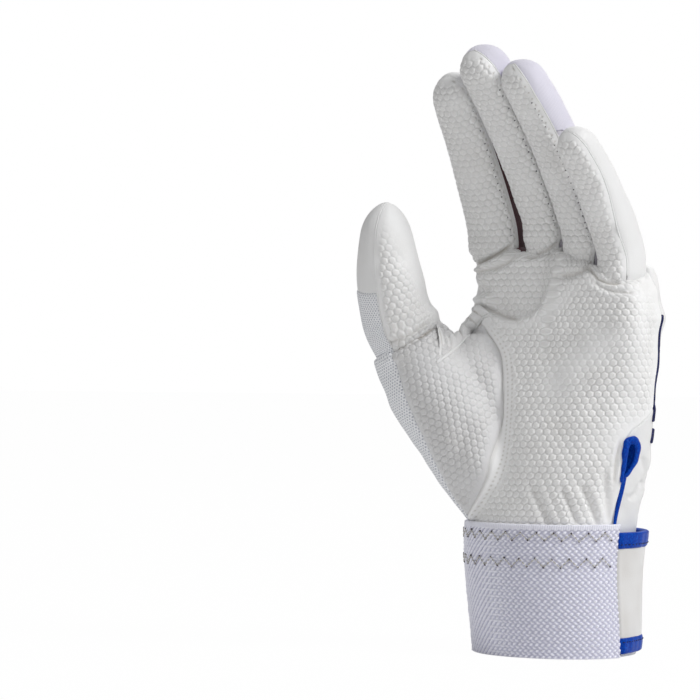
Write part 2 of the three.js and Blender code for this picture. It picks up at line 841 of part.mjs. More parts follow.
const elasticInner = lapGap;
const elasticOuter = elasticInner + elasticThick;
const strapInnerAt = (angle) => elasticInner
  + strapLift * smoothStep((angle - strapRootAngle) / strapRiseAngle);
const strapOuterAt = (angle) => strapInnerAt(angle) + strapThick;

const cuff = new THREE.Group();
cuff.add(
  meshOf('cuff_elastic', wristBand(
    elasticEndAngle,
    360 + elasticEdgeAngle,
    0,
    cuffHeight,
    () => elasticInner,
    () => elasticOuter,
    cuffSteps,
  ), ribElastic),
  meshOf('wrist_flap', wristBand(
    flapStartAngle,
    flapEndAngle,
    0,
    tuckFoot - seamGap,
    () => -panelThick,
    () => 0,
    cuffSteps / 2,
  ), smoothLeather),
  meshOf('loop_patch', wristBand(
    patchStartAngle,
    patchEndAngle,
    patchFoot,
    patchTop,
    () => seamGap,
    () => seamGap + patchThick,
    cuffSteps / 4,
  ), loopTape),
);

const strapBand = wristBand(
  strapRootAngle,
  strapEndAngle,
  strapFoot + bindingThick,
  strapTop - bindingThick,
  strapInnerAt,
  strapOuterAt,
  cuffSteps,
);

// Edge binding: a channel folded over the strap's edge, with a clearance to the strap.
function edgeBinding(low, high) {
  const foldRise = bindingLapAngle;
  const start = strapRootAngle + foldRise;
  const end = strapEndAngle;
  const outside = wristBand(
    start,
    end,
    low,
    high,
    (angle) => strapInnerAt(angle) - seamGap / 2,
    (angle) => strapOuterAt(angle) + seamGap + bindingThick,
    cuffSteps,
  );
  const inside = wristBand(
    start - foldRise,
    end + foldRise,
    strapFoot + bindingThick - seamGap,
    strapTop - bindingThick + seamGap,
    (angle) => strapInnerAt(angle) - strapLift,
    (angle) => strapOuterAt(angle) + seamGap,
    cuffSteps,
  );
  return outside.subtract(inside);
}

const strap = new THREE.Group();
strap.add(
  meshOf('strap_tab', strapBand, smoothLeather),
  meshOf('strap_binding_top', edgeBinding(strapTop - bindingWidth, strapTop), blueBinding),
  meshOf('strap_binding_bottom', edgeBinding(strapFoot, strapFoot + bindingWidth), blueBinding),
  meshOf('hook_patch', wristBand(
    patchStartAngle,
    patchEndAngle,
    patchFoot,
    patchTop,
    (angle) => strapInnerAt(angle) - seamGap - patchThick,
    (angle) => strapInnerAt(angle) - seamGap,
    cuffSteps / 4,
  ), hookTape),
);

// Slit binding and side piping

const trim = new THREE.Group();
const bindStand = slitBindRadius + slitStand;
const loopPoints = slitOutline(slitHalfWidth, slitBindPoints).map(([z, y]) => sidePoint(z, y, bindStand));
const tailPoints = [0, 1, 2, 3].map((k) => sidePoint(
  slitFoot - slitBindRadius - slitTailRadius - (slitFoot - slitBindRadius - slitTailRadius - slitTailFoot) * (k / 3),
  0,
  slitTailRadius + trimStand,
));
const pipingSteps = 8;
const pipingPoints = [];
for (let k = 0; k <= pipingSteps; k += 1) {
  const z = pipingTop - ((pipingTop - pipingFoot) * k) / pipingSteps;
  pipingPoints.push(sidePoint(z, sideSeamHigh - ulnarSeam(z), pipingRadius + trimStand));
}
trim.add(
  meshOf('slit_binding', tube(loopPoints, slitBindRadius, 8, true), blueBinding),
  meshOf('slit_binding_tail', tube(tailPoints, slitTailRadius, 8, false), blueBinding),
  meshOf('side_piping', tube(pipingPoints, pipingRadius, 8, false), navyPiping),
);

leather.add(
  meshOf('web_gusset', webSheet, smoothLeather),
  meshOf('crotch_gusset', crotchStrip(), stretchKnit),
);

const glove = new THREE.Group();
glove.add(leather, digits, cuff, strap, trim);

export default glove;
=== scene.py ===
# %% [markdown]
# # A batting glove, dressed over its CAD frame
# The imported CAD model gives the bodies, the joints and the plain solids. This notebook puts the
# real surfaces over them: embossed palm leather, smooth leather, stretch knit, a knitted cuff and a
# strap. The first cell loads the model.

# %% Load the imported model
import math

import bpy
import numpy as np
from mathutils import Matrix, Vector
from mathutils.bvhtree import BVHTree


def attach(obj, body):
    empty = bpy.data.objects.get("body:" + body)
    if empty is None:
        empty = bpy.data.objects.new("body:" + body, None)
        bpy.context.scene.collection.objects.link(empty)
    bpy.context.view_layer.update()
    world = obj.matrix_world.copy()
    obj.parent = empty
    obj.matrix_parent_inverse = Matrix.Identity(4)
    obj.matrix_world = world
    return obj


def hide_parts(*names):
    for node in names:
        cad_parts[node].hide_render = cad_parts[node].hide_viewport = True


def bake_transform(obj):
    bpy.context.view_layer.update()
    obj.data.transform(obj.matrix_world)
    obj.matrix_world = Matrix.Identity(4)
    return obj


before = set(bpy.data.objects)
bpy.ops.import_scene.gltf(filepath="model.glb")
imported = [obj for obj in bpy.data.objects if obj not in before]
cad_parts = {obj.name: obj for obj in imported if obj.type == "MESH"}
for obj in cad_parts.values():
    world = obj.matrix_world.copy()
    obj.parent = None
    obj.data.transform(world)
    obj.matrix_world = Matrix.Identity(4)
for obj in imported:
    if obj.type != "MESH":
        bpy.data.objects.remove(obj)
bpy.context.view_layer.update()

# %% [markdown]
# ## The camera
# The photograph looks level at the palm from the little-finger side. All shapes below are worked
# out in millimetres and turned to metres when a mesh is made. The same numbers also tell where any
# point of the glove lies in the picture, so that a fold can be written down by where it is seen.

# %% Camera and picture
MILLIMETRE = 0.001
TURN = 2 * math.pi
UP = np.array([0, 0, 1.0])
PICTURE = 700
PICTURE_MIDDLE = PICTURE / 2
PICTURE_SCALE = 0.4
CAMERA_TURN = math.radians(35)
CAMERA_DISTANCE = 1250.0
CAMERA_SIGHT_END = 20
SENSOR = 36.0
AIM_ACROSS = -82.0
AIM_HEIGHT = 120.8
across_view = np.array([math.cos(CAMERA_TURN), math.sin(CAMERA_TURN), 0.0])
toward_camera = np.array([math.sin(CAMERA_TURN), -math.cos(CAMERA_TURN), 0.0])
camera_place = across_view * AIM_ACROSS + toward_camera * CAMERA_DISTANCE + UP * AIM_HEIGHT

camera_data = bpy.data.cameras.new("camera")
camera_data.sensor_width = SENSOR
camera_data.lens = SENSOR * CAMERA_DISTANCE / (PICTURE * PICTURE_SCALE)
camera_data.clip_end = CAMERA_SIGHT_END
camera = bpy.data.objects.new("camera", camera_data)
camera.location = camera_place * MILLIMETRE
camera.rotation_euler = (math.pi / 2, 0, CAMERA_TURN)
bpy.context.scene.collection.objects.link(camera)
bpy.context.scene.camera = camera


def in_picture(points):
    """Where points are seen in the picture, counted from its top left corner."""
    zoom = CAMERA_DISTANCE / (CAMERA_DISTANCE - points @ toward_camera) / PICTURE_SCALE
    across = PICTURE_MIDDLE + (points @ across_view - AIM_ACROSS) * zoom
    down = PICTURE_MIDDLE - (points[:, 2] - AIM_HEIGHT) * zoom
    return np.stack([across, down], 1)


def sight_line(spot):
    """The direction from the camera through a spot of the picture."""
    sideways = (spot[0] - PICTURE_MIDDLE) * PICTURE_SCALE
    upward = (PICTURE_MIDDLE - spot[1]) * PICTURE_SCALE
    way = across_view * sideways - toward_camera * CAMERA_DISTANCE + UP * upward
    return way / np.linalg.norm(way)


print("lens", round(camera_data.lens, 1), "mm")

# %% [markdown]
# ## Light, floor and backdrop
# The studio is white and soft: one large lamp high on the right, a weaker one on the left and an
# even world. The floor and the world look white to the camera only, so no light is added for
# whiteness.

# %% Lamps
LAMP_AIM = Vector((0, 0, 0.13))
# towards the right, the camera and the top; distance and size in metres; watts
LAMPS = {
    "key_lamp": ((0.9, 0.62, 1.05), 1.4, 0.45, 12),
    "fill_lamp": ((-1.0, 0.9, 0.35), 1.6, 1.0, 0.5),
    "back_lamp": ((0.3, -1.0, 0.8), 1.6, 1.0, 4),
}
bpy.context.scene.view_settings.view_transform = "Standard"
for name, ((right, near, high), distance, size, power) in LAMPS.items():
    way = Vector(right * across_view + near * toward_camera + high * UP)
    light = bpy.data.lights.new(name, "AREA")
    light.shape = "DISK"
    light.size = size
    light.energy = power
    holder = bpy.data.objects.new(name, light)
    holder.location = LAMP_AIM + way.normalized() * distance
    holder.rotation_euler = (LAMP_AIM - holder.location).to_track_quat("-Z", "Y").to_euler()
    bpy.context.scene.collection.objects.link(holder)
print(len(LAMPS), "lamps")

# %% [markdown]
# ## A small language for finishes
# Blender builds a finish from nodes joined by links. To keep the pattern of a knit or of an emboss
# readable, one small class wraps a node's output, so that sums of it are written as plain Python,
# and another adds any node from its type, its settings and the values of its sockets.


# %% Finish helpers
def maths(operation, turned=False):
    """A method that adds one Math node. When turned, the field is its last value."""

    def method(self, *others):
        values = (*others, self) if turned else (self, *others)
        settings = {"operation": operation}
        return self.nodes.add("ShaderNodeMath", settings, dict(enumerate(values)))[0]

    return method


class Field:
    """A number that varies over the surface. Sums of it become Math nodes."""

    def __init__(self, nodes, socket):
        self.nodes = nodes
        self.socket = socket

    __add__, __radd__ = maths("ADD"), maths("ADD", turned=True)
    __sub__, __rsub__ = maths("SUBTRACT"), maths("SUBTRACT", turned=True)
    __mul__, __truediv__ = maths("MULTIPLY"), maths("DIVIDE")
    __abs__, wave = maths("ABSOLUTE"), maths("SINE")
    least, most = maths("MINIMUM"), maths("MAXIMUM")
    wrapped = maths("FLOORED_MODULO")

    def eased(self, low, high):
        settings = {"interpolation_type": "SMOOTHSTEP"}
        sockets = {"Value": self, "From Min": low, "From Max": high}
        return self.nodes.add("ShaderNodeMapRange", settings, sockets)[0]


class Nodes:
    """A tree of nodes, which are added by type."""

    def __init__(self, tree):
        self.tree = tree

    def add(self, kind, settings=None, sockets=None):
        node = self.tree.nodes.new(kind)
        for name, value in (settings or {}).items():
            setattr(node, name, value)
        for name, value in (sockets or {}).items():
            if isinstance(value, Field):
                self.tree.links.new(value.socket, node.inputs[name])
            else:
                node.inputs[name].default_value = value
        return [Field(self, output) for output in node.outputs]

    def feed(self, name, field, node="Principled BSDF"):
        self.tree.links.new(field.socket, self.tree.nodes[node].inputs[name])

    def rays(self):
        """What kind of ray meets the surface, by the name of the output."""
        return {field.socket.name: field for field in self.add("ShaderNodeLightPath")}


class Finish(Nodes):
    """One material with its pattern."""

    def __init__(self, name, roughness, shine=0.35):
        self.material = bpy.data.materials.new(name)
        self.material.use_nodes = True
        super().__init__(self.material.node_tree)
        self.surface = self.tree.nodes["Principled BSDF"]
        self.put("Roughness", roughness)
        self.put("Specular IOR Level", shine)

    def put(self, name, value):
        self.surface.inputs[name].default_value = value

    def mark(self, name):
        """A number kept on the mesh's points."""
        return self.add("ShaderNodeAttribute", {"attribute_name": name})[2]

    def flat(self):
        """The place on the cut panel, in millimetres along it and up it."""
        laid = self.add("ShaderNodeUVMap", {"uv_map": "flat"})[0]
        return self.add("ShaderNodeSeparateXYZ", {}, {0: laid})[:2]

    def place(self):
        """The place in space."""
        return self.add("ShaderNodeTexCoord")[3]

    def noise(self, scale, detail=3.0):
        sockets = {"Vector": self.place(), "Scale": scale, "Detail": detail}
        return self.add("ShaderNodeTexNoise", {}, sockets)[0]

    def done(self, amount, base, other, height, depth):
        """The base colour turned to the other one by an amount, over a bump of millimetres."""
        sockets = {0: amount, 6: shade(*base), 7: shade(*other)}
        self.feed("Base Color", self.add("ShaderNodeMix", {"data_type": "RGBA"}, sockets)[2])
        sockets = {"Height": height, "Distance": depth * MILLIMETRE, "Strength": 1.0}
        self.feed("Normal", self.add("ShaderNodeBump", {}, sockets)[0])
        return self.material


def shade(red, green, blue):
    """A colour written as it is seen on a screen, from 0 to 255."""
    shares = [value / 255 for value in (red, green, blue)]
    return (*(s / 12.92 if s < 0.04 else ((s + 0.055) / 1.055) ** 2.4 for s in shares), 1.0)


# %% [markdown]
# The floor and the world are the first two finishes. Both ask Light Path whether a ray comes from
# the camera: only then do they look pure white. The floor keeps a share of its plain shading, and
# so the soft shadow under the cuff.

# %% Floor and world
FLOOR_SHOW = 0.985
FLOOR_SIZE = 12
FLOOR_HEIGHT = -0.0002
WORLD_LIGHT = 0.4
floor_finish = Finish("studio_floor", 0.9)
floor_finish.put("Base Color", shade(246, 246, 246))
glow = floor_finish.add("ShaderNodeEmission", {}, {"Strength": 1.0})[0]
rays = floor_finish.rays()
plain = Field(floor_finish, floor_finish.surface.outputs[0])
white_share = (rays["Is Camera Ray"] * FLOOR_SHOW).most(rays["Is Glossy Ray"])
mixed = floor_finish.add("ShaderNodeMixShader", {}, {0: white_share, 1: plain, 2: glow})[0]
floor_finish.feed("Surface", mixed, "Material Output")

bpy.ops.mesh.primitive_plane_add(size=FLOOR_SIZE, location=(0, 0, FLOOR_HEIGHT))
floor = bpy.context.object
floor.name = "floor"
floor.data.materials.append(floor_finish.material)

world = bpy.data.worlds.new("studio")
world.use_nodes = True
bpy.context.scene.world = world
sky = Nodes(world.node_tree)
rays = sky.rays()
seen_or_through = rays["Is Camera Ray"].most(rays["Is Transmission Ray"])
sockets = {"Value": seen_or_through, "To Min": WORLD_LIGHT, "To Max": 1.0}
sky.feed("Strength", sky.add("ShaderNodeMapRange", {}, sockets)[0], "Background")
sky.tree.nodes["Background"].inputs["Color"].default_value = (1, 1, 1, 1)
print("floor and world ready")

# %% [markdown]
# ## The leather finishes
# The palm leather has a fine grain and a pattern of six-sided cushions. The cushions are real in
# the mesh, and the same pattern in the bump keeps their edges crisp. The grooves and middles of the
# cells are painted a little darker than a band along their rims: painted shade, and a painted
# highlight on the rims. Folds carry a mark on the mesh, which darkens and warms the leather a
# little: partly wear in the crease, partly painted shade of the fold.

# %% Leather
PITCH = 3.3
CELL_STRETCH = 1.16
ROW_SHARE = math.sqrt(3)
LEATHER_GRAIN = 0.05


def cushion_share(along, up, pitch):
    """How deep inside its six-sided cell a place lies, from 0 at the edge to about a half."""
    x, y = along / pitch, up / pitch
    ways = []
    for shift in (0.0, 0.5):
        a = (x + shift).wrapped(1.0) - 0.5
        b = (y + shift * ROW_SHARE).wrapped(ROW_SHARE) - ROW_SHARE / 2
        ways.append(abs(a).most(abs(a) * 0.5 + abs(b) * ROW_SHARE / 2))
    return 0.5 - ways[0].least(ways[1])


def leather(name, base, worn_and_shaded, roughness, pitch=None):
    """Fine grain over wrinkles, darkened by the mark of wear and painted shade. With a pitch, the
    colour is darker in the grooves and middles of the six-sided cells than on a band along their
    rims: painted shade, and a painted highlight on the rims.
    """
    finish = Finish(name, roughness)
    grain = finish.noise(2600.0, 4.0)
    sockets = {"Vector": finish.place(), "Scale": 900.0}
    wrinkle = finish.add("ShaderNodeTexVoronoi", {"feature": "DISTANCE_TO_EDGE"}, sockets)[0]
    height = grain * 0.5 + wrinkle.eased(0.0, 0.12) * 0.4
    patches = finish.noise(60.0, 2.0).eased(0.45, 0.8)
    amount = (finish.mark("wear_and_shade") + patches * 0.12).least(1.0)
    if pitch:
        inside = cushion_share(*finish.flat(), pitch)
        emboss = finish.mark("emboss")
        height = height * 0.25 + inside.eased(0.0, 0.22) * emboss * 4.8
        # the cells' grooves and middles are painted darker than a band along their rims: painted
        # shade, and a painted highlight on the rims
        rim = inside.eased(0.03, 0.12) * (1.0 - inside.eased(0.16, 0.32))
        amount = (amount + (1.0 - rim) * emboss * 0.24).least(1.0)
    finish.feed("Roughness", roughness + (grain - 0.5) * 0.2)
    return finish.done(amount, base, worn_and_shaded, height, LEATHER_GRAIN)


palm_leather = leather("palm_leather", (240, 240, 240), (198, 194, 188), 0.5, PITCH)
finger_leather = leather("finger_leather", (237, 237, 237), (194, 190, 184), 0.57, PITCH)
smooth_leather = leather("smooth_leather", (231, 231, 231), (200, 196, 191), 0.5)
# the thenar leather is the palm leather with a darker base: painted shade of the ball of the thumb,
# which faces down and away from the light
thenar_leather_shaded = leather("thenar_leather_shaded", (218, 218, 219), (190, 186, 180), 0.52, PITCH)
print("leather finishes ready")

# %% [markdown]
# ## The fabric finishes
# Each fabric is a small repeat laid over the panel in millimetres: fine slanting ribs for the
# stretch knit, a net of small holes for the mesh, and hooks or loops for the closure. All of it is
# bump and a slight painted shade between the threads and in the holes, because a thread is thinner
# than a step of the mesh.


# %% Fabrics
def stretch_fabric(name, base, shadow, pitch=0.62):
    finish = Finish(name, 0.75)
    along, up = finish.flat()
    ribs = ((along + up * 0.6) * (TURN / pitch)).wave() * 0.5 + 0.5
    loops = ((up - along * 0.2) * (TURN / (pitch * 0.8))).wave() * 0.5 + 0.5
    height = ribs * 0.7 + loops * 0.3
    # painted shade between the ribs, added to the mark of wear and painted shade
    amount = ((1.0 - height) * 0.35 + finish.mark("wear_and_shade")).least(1.0)
    finish.put("Sheen Weight", 0.25)
    return finish.done(amount, base, shadow, height, 0.12)


def net_fabric(name, base, shadow, pitch):
    finish = Finish(name, 0.8)
    hole = cushion_share(*finish.flat(), pitch).eased(0.2, 0.34)
    # painted shade in the holes of the net
    return finish.done(hole * 0.8, base, shadow, 1.0 - hole, 0.3)


def tape(name, base, pitch):
    finish = Finish(name, 0.9)
    inside = cushion_share(*finish.flat(), pitch)
    height = inside.eased(0.05, 0.4) * 0.6 + finish.noise(1800.0, 2.0) * 0.6
    # the colour darkens where the tape is low: painted shade between the hooks and loops, with a
    # random speckle
    return finish.done(1.0 - height.least(1.0), base, (150, 150, 158), height, 0.4)


def plain_finish(name, colour, dark, roughness, shine=0.35):
    finish = Finish(name, roughness, shine)
    grain = finish.noise(1500.0)
    finish.feed("Roughness", roughness + (grain - 0.5) * 0.2)
    return finish.done(grain.eased(0.35, 0.75), dark, colour, grain, 0.05)


def rib_fabric(name, base, shadow):
    finish = Finish(name, 0.85)
    yarn = finish.noise(2400.0, 2.0)
    # on the cuff, the mark of wear and painted shade is painted shade in the valleys of the knit;
    # the yarn noise is the knit's own uneven tone
    amount = (finish.mark("wear_and_shade") + (0.5 - yarn) * 0.25).eased(0.0, 1.0)
    finish.put("Sheen Weight", 0.15)
    return finish.done(amount, base, shadow, yarn, 0.06)


cuff_knit = rib_fabric("cuff_knit", (242, 242, 252), (158, 157, 186))
back_knit = stretch_fabric("back_knit", (234, 232, 243), (168, 163, 188))
# the gusset knit's dark maroon second colour is painted shade, deep between the fingers
gusset_knit = stretch_fabric("gusset_knit", (236, 234, 245), (84, 40, 50))
thumb_net = net_fabric("thumb_net", (247, 248, 251), (188, 192, 202), 1.25)
blue_leather = plain_finish("blue_leather", (0, 80, 186), (0, 50, 150), 0.42, shine=0.12)
navy_cord = plain_finish("navy_cord", (22, 30, 96), (12, 16, 62), 0.5)
# a dark maroon finish for the bottom of the wrist slit: painted shade
slit_shade_finish = plain_finish("slit_shade_finish", (58, 16, 26), (34, 8, 14), 0.85)
hook_finish = tape("hook_finish", (232, 232, 238), 1.1)
loop_finish = tape("loop_finish", (222, 222, 232), 0.7)
pale_thread = plain_finish("pale_thread", (226, 225, 222), (176, 172, 166), 0.6)
grey_thread = plain_finish("grey_thread", (104, 98, 104), (70, 64, 72), 0.7)
blue_thread = plain_finish("blue_thread", (6, 18, 66), (4, 10, 40), 0.6)
print("fabric finishes ready")

# %% [markdown]
# ## Mesh helpers
# Every piece is made from rows of points in millimetres.


# %% Piece helpers
def smooth(x):
    t = np.clip(x, 0.0, 1.0)
    return t * t * (3 - 2 * t)


def bell(x):
    return np.exp(-x ** 2)


def full_turn(count):
    """Angles round a full turn, without the last, which is the first again."""
    return np.linspace(0, TURN, count + 1)[:-1]


def unit(ways):
    """The same directions with a length of one."""
    return ways / np.maximum(np.linalg.norm(ways, axis=-1, keepdims=True), 1e-9)


def run_along(path):
    """The length of a path up to each of its points."""
    return np.concatenate([[0], np.cumsum(np.linalg.norm(np.diff(path, axis=0), axis=1))])


def path_at(at, run, path):
    """Points on the straight pieces of a path."""
    return np.stack([np.interp(at, run, line) for line in path.T], -1)


def through(places, values, at):
    """A smooth curve through a table, with the slope at each place taken from its neighbours."""
    places = np.asarray(places, float)
    values = np.asarray(values, float)
    at = np.clip(at, places[0], places[-1])
    slopes = np.gradient(values, places)
    k = np.clip(np.searchsorted(places, at) - 1, 0, len(places) - 2)
    span = places[k + 1] - places[k]
    t = (at - places[k]) / span
    rise = t * t * (3 - 2 * t)
    bend = slopes[k] * t * (1 - t) ** 2 - slopes[k + 1] * t * t * (1 - t)
    return values[k] * (1 - rise) + values[k + 1] * rise + span * bend


def curve_at(at, run, path):
    """Points on a smooth curve through a path."""
    return np.stack([through(run, line, at) for line in path.T], -1)


def piece(name, points, faces, finish, body, stands_for=(), flat=None, marks=None):
    mesh = bpy.data.meshes.new(name)
    sides = faces.shape[1]
    mesh.vertices.add(len(points))
    mesh.vertices.foreach_set("co", (points * MILLIMETRE).astype(np.float32).ravel())
    mesh.loops.add(faces.size)
    mesh.loops.foreach_set("vertex_index", faces.astype(np.int32).ravel())
    mesh.polygons.add(len(faces))
    mesh.polygons.foreach_set("loop_start", np.arange(0, faces.size, sides, dtype=np.int32))
    mesh.update(calc_edges=True)
    flat = points[:, [0, 2]] if flat is None else flat
    layer = mesh.uv_layers.new(name="flat")
    layer.data.foreach_set("uv", flat[faces.ravel()].astype(np.float32).ravel())
    for mark in ("wear_and_shade", "emboss"):
        values = (marks or {}).get(mark, np.zeros(len(points)))
        kept = mesh.attributes.new(mark, "FLOAT", "POINT")
        kept.data.foreach_set("value", values.astype(np.float32))
    mesh.polygons.foreach_set("use_smooth", np.ones(len(faces), dtype=bool))
    mesh.materials.append(finish)
    made = bpy.data.objects.new(name, mesh)
    bpy.context.scene.collection.objects.link(made)
    if body:
        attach(made, body)
    if stands_for:
        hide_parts(*stands_for)
    print(name, len(points), "points", len(faces), "faces")
    return made


def grid_faces(rows, columns, closed=False):
    """Four-sided faces over rows of points. A closed grid joins its last column to its first."""
    r = np.arange(rows - 1)[:, None] * columns
    c = np.arange(columns if closed else columns - 1)[None, :]
    after = (c + 1) % columns
    corners = [r + c, r + after, r + columns + after, r + columns + c]
    return np.stack([corner.ravel() for corner in corners], 1)


def normals_of(points, faces):
    """The average way out at each point."""
    a, b, c = (points[faces[:, k]] for k in (0, 1, 2))
    face_way = np.cross(b - a, c - a)
    out = np.zeros_like(points)
    for k in range(faces.shape[1]):
        np.add.at(out, faces[:, k], face_way)
    return unit(out)


def unevenness(points, size, seed):
    """A soft swell made of a few crossing waves, between about -1 and 1."""
    waves = np.random.default_rng(seed)
    total = np.zeros(len(points))
    for _ in range(7):
        way = waves.normal(size=3)
        way /= np.linalg.norm(way)
        total += np.sin(points @ way * (TURN / (size * waves.uniform(0.7, 1.5)))
                        + waves.uniform(0, TURN))
    return total / 7 * 1.6


def cushions(along, up, pitch):
    """The cells of the leather finish on the mesh: 0 at a cell's edge, about a half inside."""
    best = np.full(len(along), 9.0)
    for shift in (0.0, 0.5):
        a = np.abs(np.mod(along / pitch + shift, 1.0) - 0.5)
        b = np.abs(np.mod(up / pitch + shift * ROW_SHARE, ROW_SHARE) - ROW_SHARE / 2)
        best = np.minimum(best, np.maximum(a, a * 0.5 + b * ROW_SHARE / 2))
    return 0.5 - best


print("cell rows are", round(PITCH * ROW_SHARE / 2 / CELL_STRETCH, 2), "mm apart")


# %% [markdown]
# ## Folds
# Worn leather folds where the hand bends. A fold is written as the spots of the picture that it
# runs through, its width and its depth. Near that line the surface sinks, and it rises a little
# beside it, as pushed leather does. The mark of wear and painted shade grows in the bottom of the
# fold: partly wear, partly painted shade of the fold.


# %% Fold helpers
def distance_to_path(spots, path):
    """The distance of each spot to a line of spots, and the share of the way along it."""
    path = np.asarray(path, float)
    starts = run_along(path)
    best = np.full(len(spots), 1e9)
    share = np.zeros(len(spots))
    for k, step in enumerate(np.diff(path, axis=0)):
        t = np.clip(((spots - path[k]) @ step) / (step @ step), 0, 1)
        gap = np.linalg.norm(spots - path[k] - t[:, None] * step, axis=1)
        nearer = gap < best
        best[nearer] = gap[nearer]
        share[nearer] = (starts[k] + t[nearer] * (starts[k + 1] - starts[k])) / starts[-1]
    return best, share


def roll_depths(points, ways, path, width, proud, sunk, reach):
    """A fold that lies over its neighbour: proud on the right of its path, sunk on the left."""
    path = np.asarray(path, float)
    spots = in_picture(points)
    facing = smooth((ways @ toward_camera + 0.2) / 0.3)
    gap, share = distance_to_path(spots, path)
    ends = smooth(share / 0.12) * smooth((1 - share) / 0.12)
    place, corners = share * (len(path) - 1), np.arange(len(path))
    away = spots - path_at(place, corners, path)
    lead = path_at(place, corners, np.gradient(path, axis=0))
    side = np.where(lead[:, 0] * away[:, 1] - lead[:, 1] * away[:, 0] < 0, -gap, gap)
    high = proud * bell(np.maximum(-side, 0) / reach)
    deep = sunk * bell(np.maximum(side, 0) / reach)
    share_deep = smooth(side / (2 * width) + 0.5)
    return facing * ends * (deep * share_deep - high * (1 - share_deep))


def fold_depths(points, ways, folds):
    """How far the folds push each point in, and how much wear and painted shade it gets.
    Only the seen side folds.
    """
    spots = in_picture(points)
    facing = smooth((ways @ toward_camera + 0.35) / 0.3)
    push = np.zeros(len(points))
    wear_and_shade = np.zeros(len(points))
    for path, width, depth, worn_and_shaded in folds:
        gap, share = distance_to_path(spots, path)
        ends = smooth(share / 0.15) * smooth((1 - share) / 0.15) * 0.85 + 0.15
        shoulder = bell((gap - 2.2 * width) / (1.3 * width))
        push += facing * ends * depth * (bell(gap / width) - 0.3 * shoulder)
        wear_and_shade = np.maximum(wear_and_shade, facing * ends * worn_and_shaded * bell(gap / (0.6 * width)))
    return push, wear_and_shade


# %% [markdown]
# ## The form of the hand
# The glove stands as if a hand were in it. The form is a stack of rounded sections with half
# widths, half depths and sideways shifts at a few heights, the same as in the CAD model. A
# superellipse makes each section: the higher its roundness, the more it looks like a box with
# rounded corners.

# %% Hand sections
HAND_HEIGHTS = [0, 51, 74, 100, 125, 148, 182]
HAND_WIDTHS = [32.8, 34.6, 36.6, 39.5, 40.2, 38.6, 38.4]
HAND_DEPTHS = [26.5, 28, 25.5, 21.5, 17.5, 14.4, 8.5]
HAND_SHIFTS = [0.6, -1, 3.2, 3.6, 5.4, 6.9, 6.9]
SEAM_HEIGHTS = [36, 54.8, 58.3, 69.3, 81.9, 97.5, 112.6, 120.8, 125.6, 131, 138, 150, 182]
SEAM_PLACES = [-33, -27.6, -23.3, -15.2, -12.2, -11.8, -13.5, -16.2, -19.8, -25, -31, -38, -44]


def power(value, exponent):
    return np.sign(value) * np.abs(value) ** exponent


def hand_sizes(z):
    """The half width, the half depth and the sideways shift of the section at a height."""
    return (through(HAND_HEIGHTS, table, z) for table in (HAND_WIDTHS, HAND_DEPTHS, HAND_SHIFTS))


def arch_at(x, z):
    return smooth((z - 90) / 58) * 4 * (0.6 - ((x - 3) / 40) ** 2)


def roundness_at(z):
    return 2.1 + 2.6 * smooth((z - 100) / 48)


def hand_point(z, angle, grow=0.0):
    """A point of the hand form. The angle runs from the little-finger side over the back."""
    z = np.asarray(z, float)
    share = 2 / roundness_at(z)
    half_width, half_depth, shift = hand_sizes(z)
    x = shift + (half_width + grow) * power(np.cos(angle), share)
    deep = (half_depth + grow) * power(np.sin(angle), share)
    return np.stack(np.broadcast_arrays(x, deep + arch_at(x, z), z), -1)


def hand_reading(points):
    """How far out of the hand form each point lies, and its angle round the form."""
    x, y, z = points.T
    n = roundness_at(z)
    half_width, half_depth, shift = hand_sizes(z)
    a = (x - shift) / half_width
    b = (y - arch_at(x, z)) / half_depth
    size = (np.abs(a) ** n + np.abs(b) ** n) ** (1 / n)
    reach = np.hypot(a * half_width, b * half_depth) / np.maximum(size, 0.01)
    return (size - 1) * reach, np.arctan2(power(b, n / 2), power(a, n / 2))


def side_seam(x, z):
    """How far back the seam between palm and back lies, on the thumb side and on the other."""
    ulnar = -9.5 + 14 * smooth((z - 86) / 14)
    return 2 + (ulnar - 2) * smooth((x + 20) / 40)


print("wrist", hand_point(51, 0)[0].round(1), "to", hand_point(51, math.pi)[0].round(1))

# %% [markdown]
# ## The thenar lobe and the digits
# The ball of the thumb is a tapering tube that leaves the palm and carries the thumb. Each digit is
# a tube that starts straight at its root and bends towards the palm as it climbs. The table gives
# every digit's root, sizes and bend, as in the CAD model.

# %% Lobe and digit tables
LOBE_PLACES = np.array([
    [-14.85, -7.92, 53], [-21.53, -11.06, 65.02], [-31.19, -19.47, 87.99],
    [-41.09, -26.4, 108.01], [-49.5, -33, 125]])
LOBE_RADII = [11.96, 15.64, 18.6, 19.0, 15.3]
LOBE_SECTIONS = 61
LOBE_TWIST = np.radians(50)
DIGIT_ROUNDNESS = 2.35

lobe_steps = np.sqrt(np.linalg.norm(np.diff(LOBE_PLACES, axis=0), axis=1))
knots = np.concatenate([[0], np.cumsum(lobe_steps)])
fine = np.linspace(0, knots[-1], 400)
path = curve_at(fine, knots, LOBE_PLACES)
run = run_along(path)
lobe_run = np.linspace(0, run[-1], LOBE_SECTIONS)
lobe_spots = path_at(lobe_run, run, path)
lobe_radii = np.interp(lobe_run, run, through(knots, LOBE_RADII, fine))
lobe_up = unit(np.gradient(lobe_spots, axis=0))
lobe_across = unit(np.array([0, 1.0, 0]) - lobe_up * lobe_up[:, [1]])
lobe_back = np.cross(lobe_up, lobe_across)


